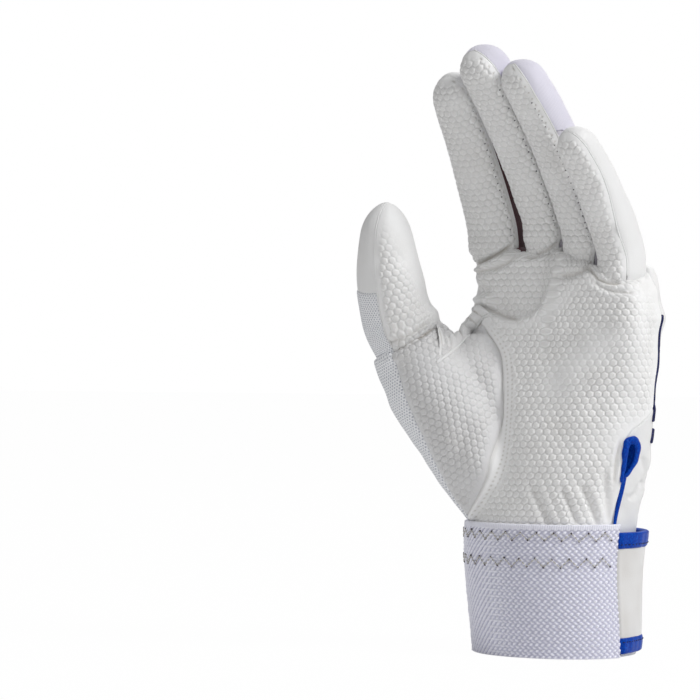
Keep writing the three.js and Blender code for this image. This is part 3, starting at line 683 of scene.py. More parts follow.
def lobe_reading(points):
    """How far out of the lobe each point lies, its run, its turn and how far behind it is."""
    gap = np.full(len(points), 1e9)
    best = np.zeros(len(points), int)
    for k in range(LOBE_SECTIONS):
        out = np.linalg.norm(points - lobe_spots[k], axis=1) - lobe_radii[k]
        nearer = out < gap
        gap[nearer] = out[nearer]
        best[nearer] = k
    away = points - lobe_spots[best]
    rise, across, back = (np.einsum("ij,ij->i", away, ways[best])
                          for ways in (lobe_up, lobe_across, lobe_back))
    run = lobe_run[best] + rise
    turn = LOBE_TWIST * (1 - np.clip(run / lobe_run[-1], 0, 1))
    behind = across * np.sin(turn) + back * np.cos(turn)
    return gap, run, np.arctan2(across, -back), behind


def plan(root, width, depth, length, tip, bend, lean, seams, dome=11, taper=1.6, bow=0, heel=0,
         ease=0, ways=np.eye(3)):
    """One digit: its root, sizes, bend and seams. `ways` are its directions across, back and up."""
    return dict(root=np.array(root), width=width, depth=depth, length=length, tip=tip, bend=bend,
                lean=lean, seams=seams, dome=dome, taper=taper, bow=bow, heel=heel, ease=ease,
                ways=ways)


DIGITS = {
    "index": plan((-27.2, 0.18, 164), 11.2, 10.5, 74.5, tip=(8.8, 8.3), bend=(15, 41), lean=-1.6,
                  seams=(0.0, -2.1), taper=1.8, bow=-1.3, heel=0.3),
    "middle": plan((-4.5, 2.304, 168), 9.2, 10.5, 84, tip=(9.2, 9.8), bend=(24, 44), lean=-4.6,
                   seams=(-1.05, -4.2)),
    "ring": plan((14.0, 1.896, 163), 9.0, 10.5, 83, tip=(8.8, 7.6), bend=(21, 47), lean=-4.9,
                 seams=(-1.05, -6.3)),
    "little": plan((31.0, -0.241, 153), 8.6, 10.4, 66, tip=(7.4, 6.3), bend=(27, 51), lean=-1.1,
                   seams=(-1.05, -7.4), dome=9, ease=0.5),
    "thumb": plan((-48.8, -32.5, 125), 14.4, 13.6, 57.4, tip=(7.6, 6.2), bend=(17, 38), lean=0,
                  seams=(0.0, 0.0), dome=12, taper=2.5,
                  ways=np.stack([lobe_across[-1], lobe_back[-1], lobe_up[-1]])),
}


def digit_line(digit, run):
    """The middle line of a digit at each run along it, and the bend there."""
    fine = np.linspace(0, digit["length"] + 2, 200)
    start, end = digit["bend"]
    bend = np.radians(smooth(fine / 12) * (start + (end - start) * fine / digit["length"]))
    step = fine[1]
    across = fine * math.sin(math.radians(digit["lean"]))
    across = across + digit["bow"] * np.sin(math.pi * fine / digit["length"])
    back = -np.concatenate([[0], np.cumsum(np.sin(bend[:-1]) * step)])
    up = np.concatenate([[0], np.cumsum(np.cos(bend[:-1]) * step)])
    local = path_at(run, fine, np.stack([across, back, up], 1))
    local[..., 0] -= digit["heel"] * np.minimum(run + 3, 0)
    local[..., 2] += np.minimum(run, 0)
    return digit["root"] + local @ digit["ways"], np.interp(run, fine, bend)


def digit_halves(digit, run, grow=0.0):
    """Half width and half depth of the digit, closing in a rounded dome at its tip."""
    length, dome = digit["length"] + grow, digit["dome"] + grow
    t = np.clip(run / length, 0, 1) ** digit["taper"]
    over = np.clip((run - (length - dome)) / dome, 0, 1)
    closing = np.sqrt(np.maximum(0, 1 - over ** 2.4))
    return [(digit[key] + (tip - digit[key]) * t + grow) * closing
            for key, tip in zip(("width", "depth"), digit["tip"])]


def rounded(angle):
    """The two sides of a point on a rounded section of unit size."""
    return (power(side, 2 / DIGIT_ROUNDNESS) for side in (np.cos(angle), np.sin(angle)))


def digit_point(digit, run, angle, grow=0.0):
    run = np.asarray(run, float)
    wide, deep = digit_halves(digit, run, grow)
    middle, bend = digit_line(digit, run)
    across, back = rounded(angle)
    b = deep * back
    local = np.stack(np.broadcast_arrays(wide * across, b * np.cos(bend), b * np.sin(bend)), -1)
    return middle + local @ digit["ways"]


for name, digit in DIGITS.items():
    tip = digit_point(digit, digit["length"], 0.0)
    print(name, "tip is seen at", in_picture(tip[None])[0].round(0))

# %% [markdown]
# ## One skin for hand, lobe and finger roots
# On the real glove the palm leather runs on over the ball of the thumb and up to each finger. Here
# the closed forms are put together and Blender's voxel remesh melts them into one skin. A smoothing
# pass rounds the hollows between them, and one subdivision gives enough points for the emboss.

# %% The melted skin
CROTCH_PLACES = [-42, -38, -30, -15, -3, 8, 17, 27, 35, 40, 45]
CROTCH_HEIGHTS = [148, 152, 157, 161.5, 162, 162, 158, 155.5, 153, 151.5, 145]
CROTCH_SLOPES = [0.05, 0.05, 0.05, 0.05, 0.05, 0.05, 0.1, 0.2, 0.55, 0.5, 0.35]
CROTCH_FOOT = 135
CROTCH_TOP = 165
FILL_PLACES = np.array([[-21, -10, 84], [-23.5, -14.5, 104], [-28, -18, 118], [-30, -15, 127.0]])
FILL_RADII = [11, 11.4, 10, 7.5]
# how much each finger's stub is grown, where it ends, and how its top leans in x and in y
STUBS = {"index": (0.9, -6.2, 0.38, 0.2), "middle": (0.6, -6.6, 0.2, 0.2),
         "ring": (0.5, -9.0, 0.1, 0.2), "little": (0.9, -5.8, -0.1, 0.35)}
STUB_FOOT = -26
VOXEL = 0.9


def closed_form(rings):
    """Points and faces of a tube of rings with a fan over each end."""
    rows, columns = rings.shape[:2]
    points = rings.reshape(-1, 3)
    faces = grid_faces(rows, columns, closed=True).tolist()
    for row, turn in ((0, -1), (rows - 1, 1)):
        points = np.concatenate([points, rings[row].mean(0)[None]])
        ring = [row * columns + k for k in range(columns)][::turn]
        faces += [(ring[k], ring[(k + 1) % columns], len(points) - 1) for k in range(columns)]
    return points, faces


angles = full_turn(96)
heights = np.concatenate([np.linspace(34, 160, 64),
                          CROTCH_TOP - 5 * np.cos(np.linspace(0.1, 1.3, 7))])
closing = np.concatenate([np.zeros(64), -5 * (1 - np.sin(np.linspace(1.47, 0.27, 7)))])
hand_rings = np.stack([hand_point(z, angles, grow) for z, grow in zip(heights, closing)])
x, y, z = np.moveaxis(hand_rings, -1, 0)
crotch, slope = (np.interp(x, CROTCH_PLACES, table) for table in (CROTCH_HEIGHTS, CROTCH_SLOPES))
crotch += slope * y
lift = (z - CROTCH_FOOT) / (CROTCH_TOP - CROTCH_FOOT)
hand_rings[..., 2] = np.where(lift > 0, CROTCH_FOOT + lift * (crotch - CROTCH_FOOT), z)

round_a, round_b = rounded(angles)
lobe_rings = np.stack([
    spot + (radius * round_a)[:, None] * across + (radius * round_b)[:, None] * back
    for spot, radius, across, back in zip(lobe_spots, lobe_radii, lobe_across, lobe_back)])
fill = curve_at(np.linspace(84, 127, 30), FILL_PLACES[:, 2], FILL_PLACES)
fill_size = through(FILL_PLACES[:, 2], FILL_RADII, fill[:, 2])
fill_ring = np.stack([np.cos(angles), np.sin(angles), 0 * angles], 1)
fill_rings = fill[:, None] + fill_ring[None] * fill_size[:, None, None]
forms = [closed_form(rings) for rings in (hand_rings, lobe_rings, fill_rings)]

for name, (grow, top, lean_x, lean_y) in STUBS.items():
    digit = DIGITS[name]
    stub = digit_point(digit, np.linspace(STUB_FOOT, top, 24)[:, None], angles, grow)
    tilt = (stub[..., 2] - stub[0, 0, 2]) / (stub[-1, 0, 2] - stub[0, 0, 2])
    stub[..., 2] += tilt * (lean_y * (stub[..., 1] - digit["root"][1])
                            + lean_x * (stub[..., 0] - digit["root"][0]))
    if name == "index":
        stub[..., 0] += 6.0 * smooth((159 - stub[..., 2]) / 16)
    forms.append(closed_form(stub))

points, faces = [], []
for form_points, form_faces in forms:
    faces += [tuple(corner + len(points) for corner in face) for face in form_faces]
    points += form_points.tolist()
block = bpy.data.meshes.new("melt")
block.from_pydata(points, [], faces)
melt = bpy.data.objects.new("melt", block)
bpy.context.scene.collection.objects.link(melt)
remesh = melt.modifiers.new("melt", "REMESH")
remesh.mode = "VOXEL"
remesh.voxel_size = VOXEL
relax = melt.modifiers.new("relax", "SMOOTH")
relax.factor = 0.5
relax.iterations = 9
finer = melt.modifiers.new("finer", "SUBSURF")
finer.levels = 1
held = melt.evaluated_get(bpy.context.evaluated_depsgraph_get()).to_mesh()
skin = np.empty(len(held.vertices) * 3)
held.vertices.foreach_get("co", skin)
skin = skin.reshape(-1, 3)
skin_faces = np.empty(len(held.polygons) * 4, dtype=np.int32)
held.polygons.foreach_get("vertices", skin_faces)
skin_faces = skin_faces.reshape(-1, 4)
bpy.data.objects.remove(melt)
skin_ways = normals_of(skin, skin_faces)
print("skin", len(skin), "points")

# %% [markdown]
# ## Leather worked on the skin
# The skin gets its folds first, then the grooves where panels meet, then the embossed cushions.
# Each is a small push along the way out of the surface. The folds are placed by where they are seen
# in the picture, and the palm's cushions by the run round the hand and up it, so that they stay
# even on the leather.

# %% Folds of the palm
PALM_FOLDS = [
    # soft folds where the leather goes into the cuff
    ([(530, 484), (538, 500), (549, 526)], 3.5, 1.3, 0.15),
    ([(560, 486), (569, 504), (577, 526)], 3.2, 1.0, 0.1),
    ([(580, 484), (590, 502), (598, 526)], 3.2, 1.2, 0.15),
    ([(494, 484), (484, 502), (472, 526)], 3.0, 0.8, 0.1),
    ([(604, 470), (606, 496), (609, 526)], 4.0, 0.9, 0.1),
    # creases under the index finger, seen from the thumb side to the gap
    ([(455, 272), (468, 268), (478, 264), (490, 258), (500, 253), (512, 246)], 2.2, 1.3, 1.0),
    ([(455, 278), (470, 274), (483, 271), (496, 268), (508, 262), (517, 256)], 2.4, 0.9, 0.45),
    ([(456, 303), (474, 304), (488, 309), (503, 316), (522, 321)], 2.4, 1.2, 0.55),
    ([(450, 291), (478, 291), (492, 287)], 5.0, 1.5, 0.1),
    ([(455, 279), (476, 280), (490, 278)], 5.0, -0.3, 0.0),
    ([(455, 298), (478, 299), (490, 298)], 4.0, -0.2, 0.0),
    # creases under the middle, ring and little fingers
    ([(526, 258), (535, 255), (547, 250), (560, 243)], 2.0, 1.2, 0.55),
    ([(560, 276), (572, 275), (583, 270), (592, 264)], 3.4, 1.2, 0.45),
    ([(590, 279), (600, 286), (613, 291), (626, 292), (636, 291)], 2.4, 1.1, 0.3),
    ([(588, 264), (592, 272), (598, 279), (607, 283), (622, 284)], 2.2, 1.3, 0.8),
    # swells and hollows of the half-closed palm
    ([(635, 312), (616, 330), (600, 345), (580, 362), (560, 390)], 12.0, -0.8, 0.0),
    ([(650, 350), (630, 370), (606, 392), (590, 420)], 9.0, 0.5, 0.0),
    ([(645, 318), (672, 318)], 10.0, -1.3, 0.0),
    ([(640, 268), (648, 280), (650, 292)], 4.0, 0.6, 0.05),
    # the base of the thumb and the lobe
    ([(385, 353), (398, 348), (412, 342), (425, 334), (437, 325)], 2.0, 1.5, 1.0),
    ([(382, 362), (398, 358), (414, 351), (430, 343)], 3.0, -0.8, 0.1),
    ([(478, 327), (482, 318), (490, 315)], 1.6, 1.0, 0.9),
    ([(470, 420), (462, 440), (458, 465)], 7.0, 0.6, 0.0),
    # the smooth leather round the wrist slit
    ([(621, 440), (617, 455), (615, 470), (613, 486)], 2.0, 0.9, 0.45),
    ([(641, 455), (646, 472), (642, 490)], 3.0, 0.7, 0.1),
    ([(628, 500), (636, 494), (645, 480)], 2.6, 0.6, 0.1),
]
# the roll of leather that runs from the ring finger down and round to the thumb side
PALM_ROLL = [(562, 244), (556, 258), (550, 275), (546, 291), (540, 305), (529, 316), (512, 319),
             (496, 313), (480, 305)]
# each fold darkens the leather in its bottom: partly wear, partly painted shade of the fold
push, wear_and_shade = fold_depths(skin, skin_ways, PALM_FOLDS)
push += roll_depths(skin, skin_ways, PALM_ROLL, width=4.5, proud=1.0, sunk=1.9, reach=26)
skin = skin - skin_ways * push[:, None]
swell = unevenness(skin, 22, 5) * 0.5 + unevenness(skin, 9, 6) * 0.2
skin = skin + skin_ways * swell[:, None]
print("deepest fold", push.max().round(2), "mm")

# %% [markdown]
# The seams are surfaces in space: where the value of a panel's field is above zero, the point
# belongs to the panel. The fields are read before the cushions are raised. The palm panel lies
# folded over the thenar panel, so its edge stands a little proud and two rows of needle holes run
# beside it.

# %% Seams and cushions
NEEDLE_ROWS = [(2.6, 0), (4.7, 0.8)]
NEEDLE_PITCH = 1.7
hand_out, hand_angle = hand_reading(skin)
lobe_out, lobe_place, lobe_turn, lobe_behind = lobe_reading(skin)
past_seam = skin[:, 0] - through(SEAM_HEIGHTS, SEAM_PLACES, skin[:, 2])
on_palm_side = side_seam(skin[:, 0], skin[:, 2]) - skin[:, 1]
on_lobe = hand_out - lobe_out
in_thumb_net = np.minimum(on_lobe, lobe_behind)
in_back = np.minimum(-on_lobe, -on_palm_side)
in_palm = np.minimum(on_palm_side, past_seam)
in_thenar = np.minimum(np.maximum(np.minimum(on_lobe, -lobe_behind),
                                  np.minimum(-on_lobe, on_palm_side)), -past_seam)


def holes(gap, place, run, pitch, size):
    """A row of small round dents at a distance from a seam."""
    along = np.mod(run / pitch, 1.0) * pitch - pitch / 2
    return np.exp(-(((gap - place) / size) ** 2) - (along / size) ** 2)


seam_front = np.where(on_palm_side > 0, 1.0, 0.0) * (1 - smooth((skin[:, 2] - 127) / 6))
dent = 0.65 * bell(past_seam / 0.6) * seam_front
dent -= 0.22 * smooth(past_seam / 0.8) * (1 - smooth((past_seam - 5.5) / 1.5)) * seam_front
needle = np.maximum(*(holes(past_seam, place, skin[:, 2] + shift, NEEDLE_PITCH, 0.36)
                      for place, shift in NEEDLE_ROWS)) * seam_front
dent += needle * 0.3
dent += 0.6 * bell(on_palm_side / 0.6) * (on_lobe < 0)
dent += 0.7 * bell(lobe_behind / 0.6) * (on_lobe > 0)
dent += 0.4 * bell(on_lobe / 0.7) * (on_palm_side < 0)
skin = skin - skin_ways * dent[:, None]
wear_and_shade = np.maximum(wear_and_shade, needle * 0.9)
wear_and_shade = np.maximum(wear_and_shade, 0.3 * bell(past_seam / 0.5) * seam_front)

# a table of the run round the hand, from which the cushions take their place
ARC_FOOT, ARC_STEP, ARC_ROWS, ARC_COLUMNS, ARC_START = 30, 3, 51, 241, 60
arc_heights = ARC_FOOT + ARC_STEP * np.arange(ARC_ROWS)
arc_rings = hand_point(arc_heights[:, None], np.linspace(-math.pi, math.pi, ARC_COLUMNS))
arc_table = np.stack([run_along(ring) for ring in arc_rings])
arc_table -= arc_table[:, [ARC_START]]


def table_reading(table, row, column):
    r = np.clip(row, 0, table.shape[0] - 1.001)
    c = np.clip(column, 0, table.shape[1] - 1.001)
    i, j = r.astype(int), c.astype(int)
    u, v = r - i, c - j
    low = table[i, j] * (1 - v) + table[i, j + 1] * v
    high = table[i + 1, j] * (1 - v) + table[i + 1, j + 1] * v
    return low * (1 - u) + high * u


hand_arc = table_reading(arc_table, (skin[:, 2] - ARC_FOOT) / ARC_STEP,
                         (hand_angle + math.pi) / TURN * (ARC_COLUMNS - 1))
hand_flat = np.stack([hand_arc, skin[:, 2] * CELL_STRETCH], 1)
spots = in_picture(skin)
lobe_flat = np.stack([spots[:, 0] + 0.36 * spots[:, 1], spots[:, 1] - 0.36 * spots[:, 0]], 1) * 0.43
net_flat = np.stack([lobe_turn * 16, lobe_place], 1)
print("palm run", hand_arc.min().round(), "to", hand_arc.max().round(), "mm")

# %% [markdown]
# The cushions fade out where the real leather is pulled smooth: along the edges of a panel, on the
# ridges of the long swells and in the folds. Where the emboss mark is one, a cushion stands about a
# third of a millimetre above its groove.

# %% Raise the cushions
CUSHION_RISE = 0.36
SMOOTH_RIDGES = [
    ([(612, 335), (598, 345), (582, 356), (566, 370), (554, 384)], 12),
    ([(572, 290), (556, 306), (540, 318), (520, 328), (500, 322)], 6),
    ([(420, 360), (440, 368), (458, 362), (478, 345)], 16),
    ([(592, 280), (612, 291), (640, 291)], 8),
    ([(646, 290), (640, 340), (634, 390), (626, 430)], 12),
]


def cushion_rise(flat, emboss):
    cell = cushions(flat[:, 0], flat[:, 1], PITCH)
    return CUSHION_RISE * emboss * (smooth((cell + 0.01) / 0.2) - 0.4 + 0.15 * smooth(cell / 0.5))


ridge_fade = np.ones(len(skin))
for path, width in SMOOTH_RIDGES:
    ridge_fade *= 1 - 0.55 * bell(distance_to_path(spots, path)[0] / width)
ridge_fade *= 1 - 0.35 * smooth(unevenness(skin, 30, 8))
palm_emboss = smooth((on_palm_side - 1.0) / 9) * smooth((past_seam - 4.5) / 3) * ridge_fade
palm_emboss *= 1 - 0.7 * np.clip(wear_and_shade * 1.5, 0, 1)
thenar_edge = np.minimum(np.where(on_lobe > 0, -lobe_behind, on_palm_side), -past_seam)
thenar_emboss = smooth((thenar_edge - 0.8) / 3) * ridge_fade
no_emboss = np.zeros(len(skin))
print("emboss on", int((palm_emboss > 0.5).sum()), "points of the palm")


# %% [markdown]
# ## Cutting the skin into its panels
# A triangle that lies across a panel's edge is cut there, so each panel ends in a clean line. Then
# the edge is folded inwards by the thickness of the leather, which gives the seam its depth.


# %% Cut and fold an edge
def cut_panel(triangles, field, values):
    """Keeps the part of the mesh where the field is above zero. `values` holds arrays per point."""
    above = field > 0
    count = above[triangles].sum(1)
    kept = [triangles[count == 3]]
    pairs = np.zeros((0, 2), int)
    total = len(field)
    for wanted in (1, 2):
        part = triangles[count == wanted]
        odd = above[part] if wanted == 1 else ~above[part]
        rows = np.arange(len(part))
        a, b, c = (part[rows, (odd.argmax(1) + k) % 3] for k in range(3))
        ab = total + len(pairs) + rows
        ac = ab + len(part)
        pairs = np.concatenate([pairs, np.stack([a, b], 1), np.stack([a, c], 1)])
        corners = [(a, ab, ac)] if wanted == 1 else [(ab, b, c), (ab, c, ac)]
        kept += [np.stack(three, 1) for three in corners]
    share = field[pairs[:, 0]] / (field[pairs[:, 0]] - field[pairs[:, 1]])
    key = np.sort(pairs, axis=1)
    unique, back = np.unique(key[:, 0] * total + key[:, 1], return_inverse=True)
    first_seen = np.zeros(len(unique), int)
    first_seen[back] = np.arange(len(pairs))
    renamed = np.concatenate([np.arange(total), total + back])
    used, faces = np.unique(renamed[np.concatenate(kept)], return_inverse=True)
    faces = faces.reshape(-1, 3)
    made = {}
    for name, value in values.items():
        t = share[first_seen]
        t = t[:, None] if value.ndim > 1 else t
        start, end = value[pairs[first_seen, 0]], value[pairs[first_seen, 1]]
        made[name] = np.concatenate([value, start + (end - start) * t])[used]
    whole = (faces != np.roll(faces, -1, axis=1)).all(1)
    return faces[whole], made


def fold_edge(faces, values, depth=1.1):
    """Adds a narrow wall inwards along every open edge of a panel of triangles."""
    sides = np.concatenate([faces[:, [0, 1]], faces[:, [1, 2]], faces[:, [2, 0]]])
    key = np.sort(sides, axis=1)
    _, first, count = np.unique(key[:, 0] * (faces.max() + 1) + key[:, 1],
                                return_index=True, return_counts=True)
    rim = sides[first[count == 1]]
    corners, where = np.unique(rim, return_inverse=True)
    where = where.reshape(-1, 2) + len(values["points"])
    inner = {name: value[corners] for name, value in values.items()}
    inner["points"] = inner["points"] - inner["ways"] * depth
    made = {name: np.concatenate([value, inner[name]]) for name, value in values.items()}
    a, b = rim.T
    c, d = where[:, 1], where[:, 0]
    walls = np.concatenate([np.stack([b, a, d], 1), np.stack([b, d, c], 1)])
    return np.concatenate([faces, walls]), made

# %% [markdown]
# Three things are left out of the skin: what lies inside the roots of the digits, the foot that the
# cuff covers, and the drop-shaped slit at the wrist, through which the real glove opens.

# %% The hand's four panels
SLIT_MIDDLE = 77.6
SLIT_TALL = 7.2
SLIT_WIDE = 2.3
SLIT_SIDE = 1.5
SKIN_FOOT = 38.6


def slit_side(z):
    """The slit leans towards the palm at its foot, where its tail begins."""
    return SLIT_SIDE - 2.2 * np.clip((SLIT_MIDDLE - z) / SLIT_TALL, 0, 1.2) ** 1.5


x, y, z = skin.T
up = np.clip((z - SLIT_MIDDLE) / SLIT_TALL, -1, 1)
slit_half = SLIT_WIDE * np.sqrt(1 - up * up) * (0.62 + 0.38 * up) / 0.85
beside_slit = y - side_seam(x, z) - slit_side(z)
open_skin = np.maximum(np.abs(beside_slit) - slit_half, 20 - x)
open_skin = np.where(np.abs(z - SLIT_MIDDLE) > SLIT_TALL, 3.0, open_skin)
open_skin = np.minimum(open_skin, z - SKIN_FOOT)
for digit in DIGITS.values():
    local = (skin - digit["root"]) @ digit["ways"].T
    ring = (np.abs(local[:, 0] / digit["width"]) ** DIGIT_ROUNDNESS
            + np.abs(local[:, 1] / digit["depth"]) ** DIGIT_ROUNDNESS) ** (1 / DIGIT_ROUNDNESS)
    open_skin = np.minimum(open_skin, np.maximum((ring - 0.8) * 10, -11 - local[:, 2]))

HAND_PANELS = [
    ("palm_skin", "palm_panel", in_palm, hand_flat, palm_emboss, palm_leather, "embossed_leather"),
    ("thenar_skin", "thenar_panel", in_thenar, lobe_flat, thenar_emboss, thenar_leather_shaded,
     "embossed_leather"),
    ("back_skin", "back_panel", in_back, hand_flat, no_emboss, smooth_leather, "smooth_leather"),
    ("thumb_side_net", "thumb_base_mesh", in_thumb_net, net_flat, no_emboss, thumb_net,
     "mesh_fabric"),
]
skin_triangles = np.concatenate([skin_faces[:, [0, 1, 2]], skin_faces[:, [0, 2, 3]]])
for name, node, field, flat, emboss, finish, slot in HAND_PANELS:
    rise = cushion_rise(flat, emboss)
    values = {"points": skin + skin_ways * rise[:, None], "ways": skin_ways, "flat": flat,
              "wear_and_shade": wear_and_shade, "emboss": emboss}
    faces, values = fold_edge(*cut_panel(skin_triangles, np.minimum(field, open_skin), values))
    piece(name, values["points"], faces, finish, "hand", [node], values["flat"], values)
skin_tree = BVHTree.FromPolygons(skin.tolist(), skin_faces.tolist())

# %% [markdown]
# ## The digits
# Each digit of the real glove is sewn from a front, a back and, between neighbours, narrow gussets.
# A panel here is a grid: its rows follow the bent middle line of the digit, and its columns run
# from one seam to the other. Towards a seam the surface rolls inwards, so two panels meet in a
# groove.

# %% Panels of a digit
GUSSET_BACK = 4.2
GUSSET_STOP = 30.0
EDGE_ROLL = 0.7
# distances from a panel's edge where its outer columns lie, and how far the first two sink
EDGE_COLUMNS = np.array([0, 0, 0, 0.06, 0.18, 0.35, 0.55])
EDGE_SINK = (0.9, 0.4)
RUN_STEP = 0.5


def seam_angle(digit, run, back):
    """The angle at which a section crosses the plane that lies `back` behind its middle."""
    _, deep = digit_halves(digit, np.minimum(run, digit["length"] - digit["dome"]))
    share = np.clip(back / np.maximum(deep, 0.05), -0.98, 0.98)
    return np.arcsin(power(share, DIGIT_ROUNDNESS / 2))


def seam_at(digit, run, side):
    """The angle of a seam. On the little finger it moves back towards the tip."""
    back = digit["seams"][side] * (1 - digit["ease"] * smooth((run - 16) / 34))
    return seam_angle(digit, run, back)


def gusset_edge(digit, run, seam):
    """The angle where the gusset ends at the back: it narrows to nothing short of the tip."""
    share = np.clip(run / (digit["length"] - GUSSET_STOP), 0, 1)
    return seam_angle(digit, run, seam + (GUSSET_BACK - seam) * np.sqrt(1 - share ** 3))


def digit_panel(digit, low, high, runs, seed, emboss_at=None, folds=(), stitched=False, under=0.0):
    """Points and values of one panel between two angles per row. Columns crowd at its edges."""
    share = np.linspace(0, 1, 61)
    sample = digit_point(digit, runs[:, None], low[:, None] + (high - low)[:, None] * share)
    steps = np.linalg.norm(np.diff(sample, axis=1), axis=2)
    length = np.concatenate([np.zeros((len(runs), 1)), np.cumsum(steps, axis=1)], axis=1)
    full = length[:, -1:]
    whole = np.maximum(full, 1.3)
    inside = np.linspace(0, 1, max(4, int(full.max() / RUN_STEP)))[1:-1]
    place = np.concatenate([np.broadcast_to(EDGE_COLUMNS, (len(runs), len(EDGE_COLUMNS))),
                            EDGE_ROLL + inside * (whole - 2 * EDGE_ROLL),
                            whole - EDGE_COLUMNS[::-1]], axis=1)
    place *= full / whole
    angle = np.stack([np.interp(place[k], length[k], share) for k in range(len(runs))])
    angle = low[:, None] + (high - low)[:, None] * angle
    tuck = (-1.4 * smooth((-1.5 - runs) / 6) - under)[:, None]
    points = digit_point(digit, runs[:, None], angle, tuck)
    columns = points.shape[1]
    faces = grid_faces(len(runs), columns)
    to_edge = np.minimum(place, full - place)
    sink = EDGE_ROLL - np.sqrt(np.maximum(
        EDGE_ROLL ** 2 - np.maximum(EDGE_ROLL - to_edge, 0) ** 2, 0))
    for k, deeper in enumerate(EDGE_SINK):
        sink[:, [k, -1 - k]] += deeper
    to_edge = to_edge.ravel()
    points = points.reshape(-1, 3)
    out = normals_of(points, faces)
    ring = digit_point(digit, runs[:, None], full_turn(12))
    if np.einsum("ij,ij->i", out, points - np.repeat(ring.mean(1), columns, axis=0)).sum() < 0:
        faces = faces[:, ::-1]
        out = -out
    run_here = np.repeat(runs, columns)
    points = points + out * (unevenness(points, 16, seed) * 0.22 * smooth(to_edge / 3))[:, None]
    push, wear_and_shade = fold_depths(points, out, folds)
    emboss = np.zeros(len(points))
    if emboss_at:
        emboss = emboss_at(run_here, points) * smooth((to_edge - 1.2) / 2)
        emboss *= 1 - 0.7 * np.clip(wear_and_shade * 1.5, 0, 1)
    climb = run_along(digit_point(digit, runs, (low + high) / 2))
    flat = np.stack([(place - full / 2).ravel(), np.repeat(climb, columns) * CELL_STRETCH], 1)
    needle = np.zeros(len(points))
    if stitched:
        needle = np.maximum(needle, holes((full - place).ravel(), 1.9, run_here, 3.0, 0.34))
    rise = cushion_rise(flat, emboss) - sink.ravel() - push - needle * 0.35
    points = points + out * rise[:, None]
    return points, faces, flat, {"emboss": emboss, "wear_and_shade": np.maximum(wear_and_shade, needle)}


def digit_runs(digit, start):
    body = digit["length"] - digit["dome"]
    straight = np.linspace(start, body, int((body - start) / RUN_STEP))
    turn = np.linspace(0, math.pi / 2 - 0.015, 34)[1:]
    return np.concatenate([straight, body + digit["dome"] * np.sin(turn)])


def digit_piece(name, node, digit_name, low, high, runs, finish, slot, painted_shade=None, **more):
    digit = DIGITS[digit_name]
    points, faces, flat, marks = digit_panel(digit, low, high, runs, len(name) * 7, **more)
    if painted_shade is not None:
        # this painted shade takes the place of the mark of wear and painted shade
        marks["wear_and_shade"] = np.repeat(painted_shade, len(points) // len(runs))
    bend_on(piece(name, points, faces, finish, None, [node], flat, marks))


def bend_on(made):
    """Bakes the piece's placement into its points. It is tied to no body."""
    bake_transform(made)


# %% [markdown]
# The fingers share one plan. The emboss covers the front and fades to smooth leather at its edges.
# The backs of the middle and ring finger are stretch knit, those of the index and little finger are
# smooth leather, as far as the picture shows them.

# %% Finger panels
FINGER_FOLDS = {
    "index": [([(468, 268), (478, 264), (490, 258), (500, 253), (514, 244)], 2.2, 1.6, 1.0),
              ([(452, 160), (466, 158), (482, 150)], 7.0, 0.45, 0.05),
              ([(440, 112), (452, 112), (468, 106)], 6.0, 0.35, 0.05)],
    "middle": [([(526, 258), (535, 255), (547, 250), (560, 243)], 2.0, 1.2, 0.55),
               ([(497, 150), (512, 150), (530, 142)], 8.0, 0.4, 0.05),
               ([(470, 84), (482, 84), (500, 78)], 6.0, 0.3, 0.05)],
    "ring": [([(560, 276), (572, 275), (583, 270), (592, 264)], 3.4, 1.2, 0.45),
             ([(538, 160), (552, 160), (566, 152)], 8.0, 0.4, 0.05),
             ([(520, 96), (530, 96), (543, 90)], 6.0, 0.3, 0.05)],
    "little": [([(588, 264), (592, 272), (598, 279), (607, 283), (622, 284)], 2.2, 1.3, 0.8),
               ([(574, 190), (586, 192), (602, 184)], 7.0, 0.4, 0.05),
               ([(590, 232), (604, 234), (620, 228)], 6.0, 0.4, 0.05)],
}
BACK_FINISH = {"index": (smooth_leather, "smooth_leather"), "middle": (back_knit, "stretch_knit"),
               "ring": (back_knit, "stretch_knit"), "little": (smooth_leather, "smooth_leather")}
# the sides that have a gusset, radial or ulnar, and how much painted shade, dark maroon, its foot
# carries
GUSSETS = {"index": {"ulnar": 0.95}, "middle": {"radial": 0.95, "ulnar": 0.12},
           "ring": {"radial": 0.12, "ulnar": 0.12}, "little": {"radial": 0.12}}
FOOT_RUN = -13.0
for name, folds in FINGER_FOLDS.items():
    digit = DIGITS[name]
    runs = digit_runs(digit, FOOT_RUN)
    seams = [seam_at(digit, runs, side) for side in (0, 1)]

    def emboss_at(run, points, tip=digit["length"]):
        return (1 - smooth((run - tip + 3) / 3)) * (1 - 0.3 * smooth(unevenness(points, 26, 4)))

    digit_piece(f"{name}_front_skin", f"{name}_front", name, math.pi - seams[0], TURN + seams[1],
                runs, finger_leather, "embossed_leather", emboss_at=emboss_at, folds=folds,
                stitched=name != "little")
    backs = list(seams)
    body = runs[runs < digit["length"] - GUSSET_STOP]
    for side, word in enumerate(("radial", "ulnar")):
        if word not in GUSSETS[name]:
            continue
        backs[side] = gusset_edge(digit, runs, digit["seams"][side])
        low, high = seams[side][:len(body)], backs[side][:len(body)]
        if side == 0:
            low, high = math.pi - high, math.pi - low
        node = f"{name}_gusset_{word}"
        digit_piece(f"{node}_skin", node, name, low, high, body, gusset_knit, "stretch_knit",
                    painted_shade=GUSSETS[name][word] * (1 - smooth((body - 30) / 26)))
    digit_piece(f"{name}_back_skin", f"{name}_back", name, backs[1], math.pi - backs[0], runs,
                *BACK_FINISH[name])

# %% [markdown]
# The thumb has an embossed front, which turns smooth towards its tip, and a plain back, whose foot
# is the open net of the thumb's side. The step between the net and the plain back is a straight
# seam.

